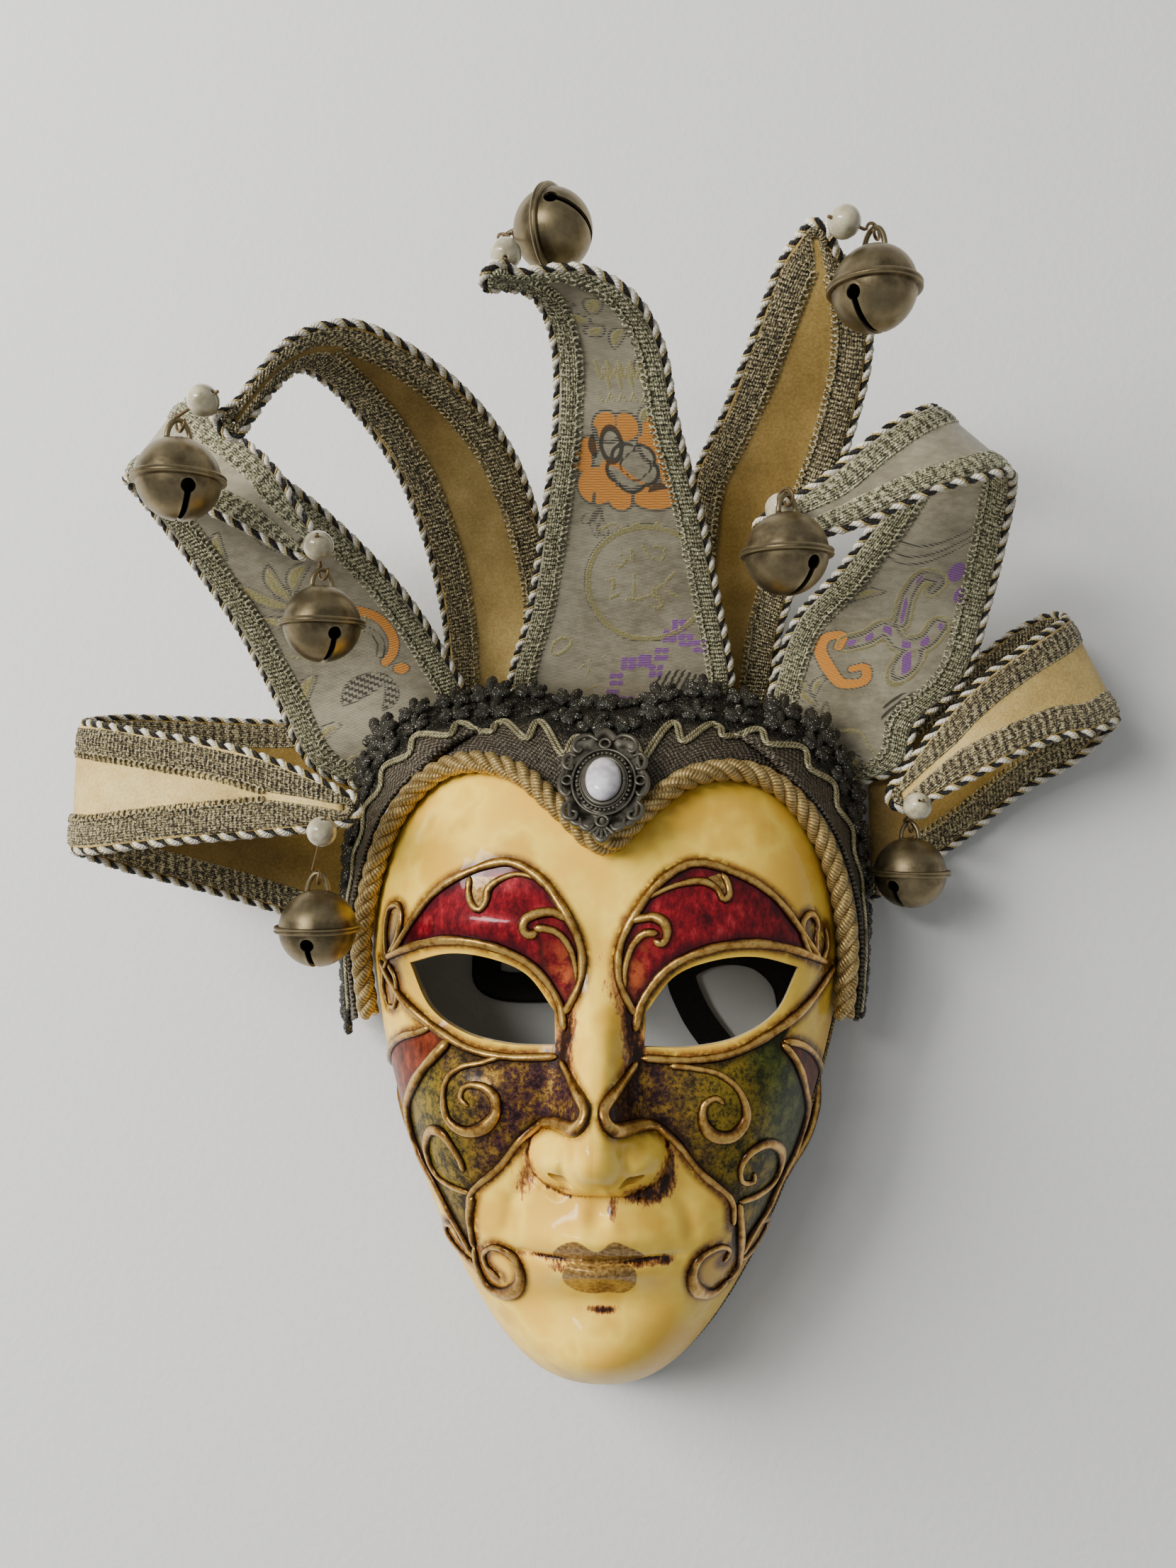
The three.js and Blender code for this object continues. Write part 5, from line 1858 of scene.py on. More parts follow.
@dataclass
class Brooch:
    """Oval filigree brooch with a white stone over the dip of the rope."""

    half_width: float = 13.5
    half_height: float = 19.5
    thickness: float = 2.6
    centre: Point = (1.0, 64.3, 77.5)
    lean: float = 24.0
    stone: Point = (5.8, 7.9, 4.0)
    bead_oval: Flat = (8.5, 10.6)
    beads: int = 38

    def build(self) -> None:
        """Makes the frame and its stone."""
        frame = MeshDraft()
        self._plate(frame)
        self._oval_borders(frame)
        self._scrolls(frame)
        frame = self._placed(frame, "filigree_frame", Finishes.PEWTER)
        settle(frame, Finishes.PEWTER, "brooch_frame")
        stone = MeshDraft()
        angles = turns(48)
        rows = [self._oval(angles, 0.96, self.thickness + 0.3)]
        for rise in np.radians(np.linspace(0, 86, 16)):
            height = self.thickness + 0.9 + self.stone[2] * math.sin(rise) ** 0.9
            rows.append(self._oval(angles, math.cos(rise) ** 0.9, height))
        stone.add_grid(np.stack(rows), (False, True), caps=True)
        stone = self._placed(stone, "oval_stone", Finishes.STONE)
        settle(stone, Finishes.STONE, "brooch_cabochon")

    def _oval(self, angles: Array, share: float, height: float) -> Array:
        """A ring in the stone's proportions."""
        return oval(angles, self.stone[0] * share, self.stone[1] * share, height)

    def _placed(self, draft: MeshDraft, name: str, finish: Finishes) -> Piece:
        """The draft leaned back and set on the forehead."""
        lean = np.array(Matrix.Rotation(math.radians(-self.lean), 3, "X"))
        draft.points = [points @ lean.T + self.centre for points in draft.points]
        return draft.object(name, finish)

    def _plate(self, draft: MeshDraft) -> None:
        """The lobed plate, raised toward its border, and its pin."""
        angles = turns(160)
        lobes = 1 + 0.07 * np.cos(8 * angles)
        foot = 0.06 * np.maximum(0, -np.sin(angles)) ** 24
        outline = oval(angles, self.half_width * lobes, self.half_height * (lobes + foot))[:, :2]
        shares = (0.02, 0.45, 0.6, 0.66, 0.72, 0.8, 0.88, 0.95, 0.99, 1.0)
        heights = (2.3, 2.3, 2.2, 1.5, 1.4, 1.6, 2.1, 2.6, 2.4, 1.9)
        rows = [np.column_stack([outline * s, np.full(160, h)]) for s, h in zip(shares, heights)]
        rows += [np.column_stack([outline * s, np.zeros(160)]) for s in (0.99, 0.5, 0.02)]
        draft.add_grid(np.stack(rows), (False, True), caps=True)
        pin = np.array([[0, 0, -2.5], [0, 0, -1.2], [0, 0, 0.5]], float)
        draft.add_tube(pin, 3.0, 16)

    def _oval_borders(self, draft: MeshDraft) -> None:
        """The stone's plain rim and the beaded oval round it."""
        angles = np.arange(97) / 96 * TURN
        for grow, radius, height in ((0.75, 0.75, 3.0), (1.7, 0.4, 2.5), (4.3, 0.45, 2.4)):
            ring = oval(angles, self.stone[0] + grow, self.stone[1] + grow, height)
            draft.add_tube(ring, radius, 8)
        for spot in oval(turns(self.beads), *self.bead_oval, 2.55):
            self._ball(draft, spot, 0.62)

    @staticmethod
    def _ball(draft: MeshDraft, middle: Array, radius: float) -> None:
        """A small ball."""
        rises = np.radians(np.linspace(-75, 75, 6))
        rings = [oval(turns(8), math.cos(rise), math.cos(rise), math.sin(rise)) for rise in rises]
        draft.add_grid(middle + np.stack(rings) * radius, (False, True), caps=True)

    def _scrolls(self, draft: MeshDraft) -> None:
        """Scrolls, rings and the shell at the foot."""
        scrolls = (
            ((2.2, 15.6), (5.6, 17.6), (9.2, 16.2), (10.2, 13), (8.6, 11.2), (7.2, 12.6)),
            ((9.2, 9.6), (11.6, 10.4), (13.2, 8.2), (12.6, 5.4), (10.6, 4.6), (10.2, 6.4)),
            ((12.6, 4.2), (13.9, 1.0), (13.4, -3.6), (11.4, -5.2), (10.4, -3.6)),
            ((10.4, -7.0), (12.4, -9.4), (11.6, -13.2), (8.6, -13.6), (8.2, -11.4), (9.8, -10.8)),
            ((7.0, -13.4), (6.4, -16.4), (4.2, -17.6), (2.6, -15.8)),
        )
        for side in (-1, 1):
            for scroll in scrolls:
                line = Path([(side * x, y, 2.4) for x, y in scroll]).even(0.6)
                share = np.linspace(0, 1, len(line))
                draft.add_tube(line, 0.45 + 0.45 * np.sin(share * math.pi), 8)
        angles = np.arange(25) / 24 * TURN
        for x, y, radius in ((0, 14.4, 1.7), (-11.7, 0.4, 1.6), (11.7, 0.4, 1.6), (0, -14.6, 1.9)):
            draft.add_tube(oval(angles, radius, radius, 2.6, (x, y)), 0.5, 8)
        for turn in (-46, -23, 0, 23, 46):
            away = np.array([math.sin(math.radians(turn)), -math.cos(math.radians(turn)), 0])
            reach = np.linspace(1.6, 5.2, 8)[:, None]
            line = np.array([0, -15.4, 2.3]) + away * reach
            draft.add_tube(line, np.linspace(0.5, 0.75, 8), 8)


@dataclass(frozen=True)
class TieRibbon:
    """Black tie ribbon lying in the hollow behind one eye hole.

    Attributes:
        node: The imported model's node.
        route: Points that its middle passes.
        ripple: How far it lifts off its plane here and there.
    """

    node: str
    route: Route
    ripple: float = 0.5
    width: float = 11.0
    thickness: float = 0.5

    def build(self) -> None:
        """Makes the ribbon and states the size it was cut to."""
        line = Path([(x, y, 1.5) for x, y in self.route]).even(1.0)
        travelled = lengths_along(line)
        ahead = unit(np.gradient(line, axis=0))
        side = np.stack([ahead[:, 1], -ahead[:, 0], np.zeros(len(line))], -1)
        share = np.linspace(-0.5, 0.5, 9)
        middle = line[:, None] + side[:, None] * (share * self.width)[None, :, None]
        wave = self.ripple * (np.sin(travelled / 9)[:, None] * (0.4 + share[None] * 0.8))
        middle[..., 2] += wave
        half = np.array([0, 0, self.thickness / 2])
        along = np.repeat(travelled[:, None], 9, 1)
        draft = MeshDraft()
        draft.add_slab(middle + half, middle - half, along=along)
        ribbon = draft.object(self.node.replace("tie", "black"), Finishes.RIBBON)
        settle(ribbon, Finishes.RIBBON, self.node)
        LOG.info("%s: %.0f mm long, %.0f mm wide", ribbon.name, travelled[-1], self.width)


# The rays


@dataclass(frozen=True)
class RayPlan:
    """One ray of the crown and what hangs at its tip.

    Attributes:
        name: Its place.
        brocade: Whether brocade covers it, or velvet.
        stations: x, y, z, width over the cords and plan angle, from foot to tip.
        bell: Centre of its bell.
        shank: Direction of the bell's shank.
        slot: Direction of the slot's end.
        pearl: Centre of its pearl.
        brushed: How much painted light, a paler copy of its velvet's colour, lies on it at its foot and at
            its tip.
    """

    name: str
    brocade: bool
    stations: tuple[tuple[float, ...], ...]
    bell: tuple[float, float, float]
    shank: tuple[float, float, float]
    slot: tuple[float, float, float]
    pearl: tuple[float, float, float]
    brushed: Flat = (0.0, 0.0)


RAYS = (
    RayPlan(
        "centre",
        True,
        (
            (3, 104.8, 11, 84, 0), (3, 112, 20, 86, 0), (5, 134, 34, 73, -1), (5, 166, 60, 56, -1),
            (4, 185, 79, 44, -2), (2, 204, 97, 38, -2), (-4, 212, 110, 34, 0),
            (-14, 214, 118, 26, 15), (-29, 211, 123, 14, 28),
        ),
        (-14.5, 235.6, 109.5),
        (-0.93, 0.1, -0.35),
        (0.3, 0.2, 0.9),
        (-27.6, 221.5, 120),
    ),
    RayPlan(
        "upper_left",
        False,
        (
            (-47, 103.8, 3, 38, 6), (-45, 116, 7, 42, 2), (-44, 141, 14, 47, 15),
            (-48, 165, 32, 46, 18), (-55, 184, 54, 44, 15), (-66, 196, 76, 40, 14),
            (-78, 201, 96, 33, 22), (-87, 200, 108, 26, 43), (-97, 190, 116, 22, 70),
            (-108.5, 168.5, 122, 14, 103),
        ),
        (-125, 151, 122),
        (0, 0.99, 0.14),
        (0.6, 0, 0.8),
        (-115, 171.5, 130.8),
        (0.45, 0.05),
    ),
    RayPlan(
        "upper_right",
        False,
        (
            (42, 104, 3, 35, -4), (43, 116, 8, 38, -6), (45, 141, 18, 43, -26),
            (51, 169, 42, 51, -30), (61, 189, 64, 47, -19), (67.5, 207, 88, 41, -13),
            (69, 219, 106, 31, -24), (66.5, 224.5, 118, 14, -33),
        ),
        (82, 205, 122),
        (0, 0.99, 0.14),
        (-0.64, 0, 0.77),
        (72.5, 221.4, 130),
        (0.05, 0.2),
    ),
    RayPlan(
        "side_left",
        True,
        (
            (-79.5, 85, 11, 48, 32), (-85, 93, 16.5, 68, 22), (-94, 112, 25, 69, 16),
            (-106, 134, 40, 65, 14), (-124, 156, 58, 55, 18), (-144, 174, 74, 40, 38),
            (-150, 180, 86, 37, 54), (-137, 172, 95, 33, 51), (-114, 157, 98, 27, 44),
            (-105, 149, 96, 20, 42), (-96, 141, 94, 14, 43),
        ),
        (-90.5, 116, 86),
        (0, 0.99, 0.14),
        (0.6, 0, 0.8),
        (-88, 137, 101),
    ),
    RayPlan(
        "side_right",
        True,
        (
            (77, 84, 8, 34, -42), (83, 91, 13, 56, -23), (86, 105, 18, 58, -23),
            (97, 121, 27, 67, -22), (106, 138, 44, 56, -15), (114, 156, 64, 43, -23),
            (118, 169, 80, 37, -38), (116, 171, 92, 35, -44), (106, 166, 99, 34, -41),
            (93, 160, 100, 29, -40), (74, 150, 95, 22, -48), (54, 144, 89, 14, -64),
        ),
        (57, 130, 107),
        (0, 0.99, 0.14),
        (0.6, 0, 0.8),
        (56, 147.5, 98.5),
    ),
    RayPlan(
        "low_left",
        False,
        (
            (-96.5, 58, 4.5, 82, -88), (-108, 59.5, 6, 84, -88), (-129, 62, 10, 77, -85),
            (-155, 65, 24, 68, -83), (-176, 67, 40, 59, -86), (-184, 67, 57, 49, -91),
            (-173, 65, 67, 47, -90), (-151, 64, 72, 41, -86), (-119, 62, 76, 32, -90),
            (-96, 59, 77, 22, -87), (-84, 57, 76, 14, -88),
        ),
        (-92, 18.3, 72),
        (0, 0.99, 0.14),
        (0, 0, 1),
        (-88, 48.5, 85),
        (0.0, 0.95),
    ),
    RayPlan(
        "low_right",
        False,
        (
            (95.8, 61, 4, 62, -90), (108, 71, 5, 63, -88), (125, 82, 7, 62, -86),
            (149, 101, 11, 64, -90), (164.5, 109.5, 17, 57, -80), (170.5, 113, 29, 44, -66),
            (160.5, 106.5, 37, 42, -70), (151, 103, 40, 38, -77), (131, 91, 42, 32, -76),
            (115, 78, 38, 24, -76), (103, 67, 33, 14, -70),
        ),
        (106.2, 40.5, 25),
        (0, 0.99, 0.14),
        (-0.64, 0, 0.77),
        (106, 62, 42.5),
        (0.1, 0.75),
    ),
)


@dataclass
class RayFrame:
    """Places along a ray: middle, directions across, ahead and out of its front, half width."""

    middle: Array
    across: Array
    ahead: Array
    facing: Array
    half: Array


class RayShape:
    """The strip of a ray between its two edge curves."""

    CORD = 4.0

    def __init__(self, stations: Sequence[Sequence[float]]) -> None:
        """Works out the edge curves from the stations."""
        table = np.array(stations, float)
        reach = (table[:, 3] - self.CORD) / 2
        turn = np.radians(table[:, 4])
        away = np.stack([np.cos(turn), np.sin(turn), np.zeros(len(table))], -1) * reach[:, None]
        self.left = Path(table[:, :3] - away)
        self.right = Path(table[:, :3] + away)
        self.spine = Path(table[:, :3])

    def frames(self, spacing: float) -> RayFrame:
        """Places about spacing apart from foot to tip."""
        shares = self.spine.even_shares(spacing)
        left, right = self.left.at(shares), self.right.at(shares)
        across = unit(right - left)
        ahead = self.left.ahead(shares) + self.right.ahead(shares)
        ahead = unit(ahead - across * np.sum(ahead * across, 1, keepdims=True))
        half = np.linalg.norm(right - left, axis=1) / 2
        return RayFrame((left + right) / 2, across, ahead, np.cross(across, ahead), half)

    def outline(self, spacing: float) -> RayFrame:
        """Places up the left edge, round the tip and down the right edge.

        Returns:
            Places whose "across" points outwards from the ray's middle.
        """
        up = self.frames(spacing)
        steps = max(int(math.pi * up.half[-1] / spacing), 8) + 1
        angles = np.linspace(0, math.pi, steps)[1:-1, None]
        round_tip = -np.cos(angles) * up.across[-1] + np.sin(angles) * up.ahead[-1]
        many = len(angles)
        outwards = np.vstack([-up.across, round_tip, up.across[::-1]])
        facing = np.vstack([up.facing, np.repeat(up.facing[-1:], many, 0), up.facing[::-1]])
        return RayFrame(
            np.vstack([up.middle, np.repeat(up.middle[-1:], many, 0), up.middle[::-1]]),
            outwards,
            np.cross(facing, outwards) * -1.0,
            facing,
            np.concatenate([up.half, np.full(many, up.half[-1]), up.half[::-1]]),
        )


@dataclass
class Figures:
    """Woven figures of the brocade, as distances inside each in the cloth's own plane.

    Attributes:
        spots: Places on the cloth: across from its middle and along from its foot.
    """

    spots: Array

    def empty(self) -> Array:
        """No figure anywhere."""
        return np.full(len(self.spots), -9.0)

    def row_of_discs(self, middles: Array, halves: Array) -> Array:
        """Overlapping discs in a row, by their middles and radii."""
        near = self.empty()
        for middle, half in zip(middles, halves):
            near = np.maximum(near, half - np.linalg.norm(self.spots - middle, axis=1))
        return near

    def stroke(self, route: Route, width: float, end: float | None = None) -> Array:
        """A line of a given width, or from one width to another."""
        line = flat_curve(route, 1.2)
        widths = np.linspace(width, width if end is None else end, len(line))
        return self.row_of_discs(line, widths / 2)

    def leaf(self, foot: Flat, tip: Flat, width: float, bend: float = 0.15) -> Array:
        """A pointed leaf."""
        start, end = np.array(foot), np.array(tip)
        run = end - start
        square = np.array([-run[1], run[0]])
        share = np.linspace(0, 1, 22)
        swell = [math.sin(part * math.pi) for part in share]
        middles = [start + run * part + square * bend * full for part, full in zip(share, swell)]
        return self.row_of_discs(middles, [width / 2 * full**0.8 for full in swell])

    def leaves(self, rows: Iterable[tuple], inset: float) -> tuple[Array, Array]:
        """Borders of leaves given by foot, tip and width, and what lies well inside them."""
        made = [self.leaf(*row) for row in rows]
        return union(*(self.rim(inside, 0.9) for inside in made)), union(*made) - inset

    def rosette(
        self, middle: Flat, radius: float, petals: int, depth: float, turn: float = 0.0
    ) -> Array:
        """A flower's outline with rounded petals."""
        off = self.spots - np.array(middle)
        angles = np.arctan2(off[:, 1], off[:, 0]) * petals + turn
        edge = radius * (1 - depth + depth * np.abs(np.cos(angles / 2)) ** 0.7)
        return edge - np.linalg.norm(off, axis=1)

    def oval(self, middle: Flat, wide: float, high: float) -> Array:
        """An oval petal, by its half sizes."""
        off = (self.spots - np.array(middle)) / (wide, high)
        return (1 - np.linalg.norm(off, axis=1)) * min(wide, high)

    @staticmethod
    def rim(inside: Array, width: float) -> Array:
        """The border of a figure."""
        return width / 2 - np.abs(inside)

    def florets(self, middles: Route, size: float) -> Array:
        """Small four-petalled flowers in a chain."""
        near = self.empty()
        for x, y in middles:
            for dx, dy in ((-0.5, -0.5), (0.5, -0.5), (-0.5, 0.5), (0.5, 0.5)):
                off = np.abs(self.spots - (x + dx * size, y + dy * size))
                near = np.maximum(near, size * 0.42 - np.max(off * (1.0, 1.1), axis=1))
        return near

    def on_centre(self) -> dict[str, Array]:
        """Figures of the centre ray."""
        petals = (
            ((-3, 105.5), 4.4, 5), ((3, 105.5), 4.4, 4.6), ((12.5, 101), 5.4, 8),
            ((17.2, 92), 3.6, 9), ((-13, 94), 4, 3.8), ((-8, 85), 6.4, 6.6),
            ((0, 80.5), 4.2, 4.2), ((12, 81), 8, 4.6), ((-9.5, 99), 3, 3),
        )
        gaps = (
            ((0.4, 112), (0.2, 106)), ((8.6, 111), (8, 101)), ((13.4, 110), (12.6, 105)),
            ((3.8, 76), (4.4, 84)), ((-7, 105), (-6.4, 96), (-9, 91.5)), ((-13.5, 94.4), (-17, 93)),
            ((-9.4, 79), (-9, 83)),
        )
        heart = self.rosette((4.6, 91.5), 8.4, 5, 0.2, 2.2)
        core = self.rosette((5.6, 92), 5.2, 4, 0.22)
        calyx = self.oval((-2, 99.5), 2.8, 4.8)
        bloom = union(*(self.oval(*petal) for petal in petals))
        bloom = -union(-bloom, *(self.stroke(route, 1.7, 0.9) for route in gaps))
        orange = -union(-bloom, heart + 0.9, calyx + 0.5)
        lip = ((-5.4, 89.5), (-4.6, 93), (-1, 92.6), (3, 88.6), (8, 85.6))
        orange = union(orange, self.stroke(lip, 2.8, 1.2))
        veins = np.sin(self.spots[:, 0] * 2.4 - self.spots[:, 1] * 1.1) - 0.1
        dark = union(
            self.rim(heart + 0.5, 1.2),
            self.rim(core, 0.7),
            self.rim(calyx + 0.6, 1.3),
            self.leaf((-7.4, 94.5), (-7.8, 103.5), 2.8, 0.1),
            self.leaf((9, 82.4), (17.5, 84), 2.4),
            np.minimum(self.leaf((10, 3), (29, 13), 11, 0.1), veins),
        )
        disc = 21.5 - np.linalg.norm((self.spots - (8.5, 49)) * (1.0, 1.02), axis=1)
        sepals = (((-9, 66), (-6.5, 77)), ((-4.5, 66), (-7.5, 76)), ((-13.5, 71), (-9.5, 74)))
        sprays = (
            ((2, 131), (8, 138), 4.2), ((8, 123), (12.5, 128), 3.4), ((9, 105), (12.5, 113), 4),
            ((-2, 141), (-12, 146), 5), ((-1, 143), (5, 149), 5), ((-4, 147), (-12, 153), 4),
            ((1, 139), (-6, 137), 4),
        )
        borders, leaves = self.leaves(sprays, 0.9)
        shadow = union(
            self.rim(bloom + 0.2, 1.5),
            self.rim(disc + 1.1, 0.9),
            borders,
            *(self.rim(self.leaf(foot, tip, 3.4), 0.9) for foot, tip in sepals),
        )
        scribbles = (
            ((3, 62), (3.2, 57.5)), ((-1, 60), (0.8, 57), (-1.6, 55)), ((-4.4, 56), (-1.8, 54.6)),
            ((7, 63), (9, 59)), ((11, 63), (14.5, 62), (13.6, 58), (10.6, 58.6)),
            ((-5, 43.5), (-2, 45)),
            ((-6, 50), (-3.6, 50.6), (-4, 47)), ((3.5, 52), (3.6, 42.5)), ((10.5, 47), (13.4, 42)),
            ((1, 43), (7.5, 43.6), (13, 48), (18, 53)), ((9, 41), (12, 39.6), (14, 42), (11, 44)),
            ((-8, 69), (-3, 71), (1, 68.6), (5, 71), (9, 69.5), (13, 72)), ((15, 46), (20, 44)),
        )
        lurex = [self.rim(disc, 1.7), leaves, *(self.stroke(route, 1.2) for route in scribbles)]
        for step in range(4):
            x = -5 + step * 3.8
            zigzag = ((x, 127), (x + 1.2, 121), (x + 2.6, 125), (x + 3.8, 118))
            hook = ((x, 116), (x + 2, 113.6), (x + 3.4, 115.4))
            lurex += [self.stroke(zigzag, 1.0), self.stroke(hook, 0.8)]
        lurex.append(self.rim(self.leaf((-25, 22), (-19, 27), 5), 1.0))
        lurex.append(self.stroke(((-13, 8), (-8, 10), (-4, 9.4)), 0.8))
        lurex.append(self.stroke(((-16, 16), (-11, 20), (-13, 13), (-6, 22)), 0.7))
        chain = (
            (17, 29), (23, 27.5), (28.5, 25), (14.5, 22), (8.5, 19.5), (2.5, 18.5), (20, 33),
            (13, 15.5), (-1.5, 12.5), (-3, 6), (2.5, 3),
        )
        return self.named(orange, self.florets(chain, 2.8), dark, shadow, union(*lurex))

    @staticmethod
    def named(*figures: Array) -> dict[str, Array]:
        """The figures by the names that the brocade's finish reads."""
        return dict(zip(("orange", "purple", "dark", "shadow", "lurex"), figures))

    def on_left(self) -> dict[str, Array]:
        """Figures of the left brocade ray."""
        stem = ((12.4, 60), (17.4, 55.6), (18.8, 47), (15.8, 40.6), (11.4, 37.6))
        orange = union(self.stroke(stem, 4.2, 3.0), self.oval((15.7, 33.6), 2.8, 2.2))
        upright = self.leaf((2, 20), (9, 33), 5, -0.2)
        leaf = union(self.leaf((-11, 26.5), (10.5, 32), 8, 0.1), upright)
        veins = np.sin(self.spots[:, 0] * 1.6 + self.spots[:, 1] * 1.9)
        inner_stem = self.stroke(((9, 54), (12.8, 50.4), (13.4, 45), (11, 41)), 2.6)
        dark = union(self.rim(inner_stem, 0.6), np.minimum(leaf, veins))
        sprays = (
            ((-6, 66), (-19, 84), 6), ((-6, 68), (-4, 86), 5.5), ((-8, 62), (-22, 68), 5),
            ((-4, 72), (9, 82), 5), ((8, 88), (0, 100), 4.5), ((-15, 92), (-9, 104), 4),
            ((-24, 30), (-14, 40), 5), ((-26, 16), (-14, 20), 4),
        )
        borders, leaves = self.leaves(sprays, 1.0)
        shadow = union(self.rim(leaf, 1.0), self.rim(orange, 1.2), borders)
        twigs = (
            ((-5, 60), (-4, 70), (-8, 80)), ((-2, 44), (-8, 50), (-7, 58)),
            ((2, 10), (9, 12), (14, 18), (20, 19)), ((10, 52), (14, 58), (12, 66)),
            ((-20, 50), (-14, 46), (-16, 40)), ((-18, 8), (-10, 9)),
        )
        lurex = union(leaves, *(self.stroke(route, 1.1, 0.6) for route in twigs))
        return self.named(orange, self.empty(), dark, shadow, lurex)

    def on_right(self) -> dict[str, Array]:
        """Figures of the right brocade ray."""
        rising = ((-13, 43), (-14, 47.6), (-18.6, 45), (-18, 39.6), (-12, 34.4))
        curling = ((-12, 34.4), (-4, 30.6), (2.4, 34.6), (-0.6, 39.4), (-4, 37))
        scroll = union(self.stroke(rising, 3.0, 4.4), self.stroke(curling, 4.4, 2.6))
        wing = ((-11, 45.5), (-6, 50), (-1.8, 56), (6, 52.4), (12.7, 56.2), (14, 63))
        feather = ((1.7, 60), (-0.6, 72), (1.2, 79.6), (7, 79), (6, 75))
        plume = union(
            self.stroke(wing, 4.2, 4.8),
            self.oval((11, 46.6), 3.6, 7),
            self.stroke(feather, 3.6, 2.4),
        )
        streaks = np.sin(self.spots[:, 0] * 0.9 + self.spots[:, 1] * 0.5) * 1.4
        buds = (self.oval((10.6, 84), 2.6, 4), self.oval((15.6, 76), 2.2, 3.4))
        purple = union(np.minimum(plume - 0.9, streaks), *buds)
        veins = np.sin(self.spots[:, 0] * 2.6 - self.spots[:, 1]) * 0.8
        dark = np.minimum(self.leaf((16, 22), (24, 38), 7), veins)
        sprays = (
            ((-12, 23), (-23, 33), 4), ((-9, 20), (-18, 24), 4), ((-5, 16), (-13, 17), 4),
            ((-11, 22), (-10, 31), 3.4), ((-18, 62), (-8, 70), 4), ((-2, 13), (-6, 22), 3.4),
            ((4, 6), (14, 4), 4),
        )
        borders, leaves = self.leaves(sprays, 1.0)
        twig = self.stroke(((1, 14), (8, 16), (12, 12.6), (17, 9), (14, 6)), 1.2)
        lurex = union(self.rim(plume + 1.3, 0.9), twig, leaves)
        along = self.spots[:, 1] - (self.spots[:, 0] + 8) ** 2 / 22
        bars = (0.6 - np.abs(along - place) for place in (82, 85, 89, 118, 124))
        shadow = union(self.rim(scroll, 1.2), self.rim(plume, 1.1), borders, *bars)
        return self.named(scroll, purple, dark, shadow, lurex)


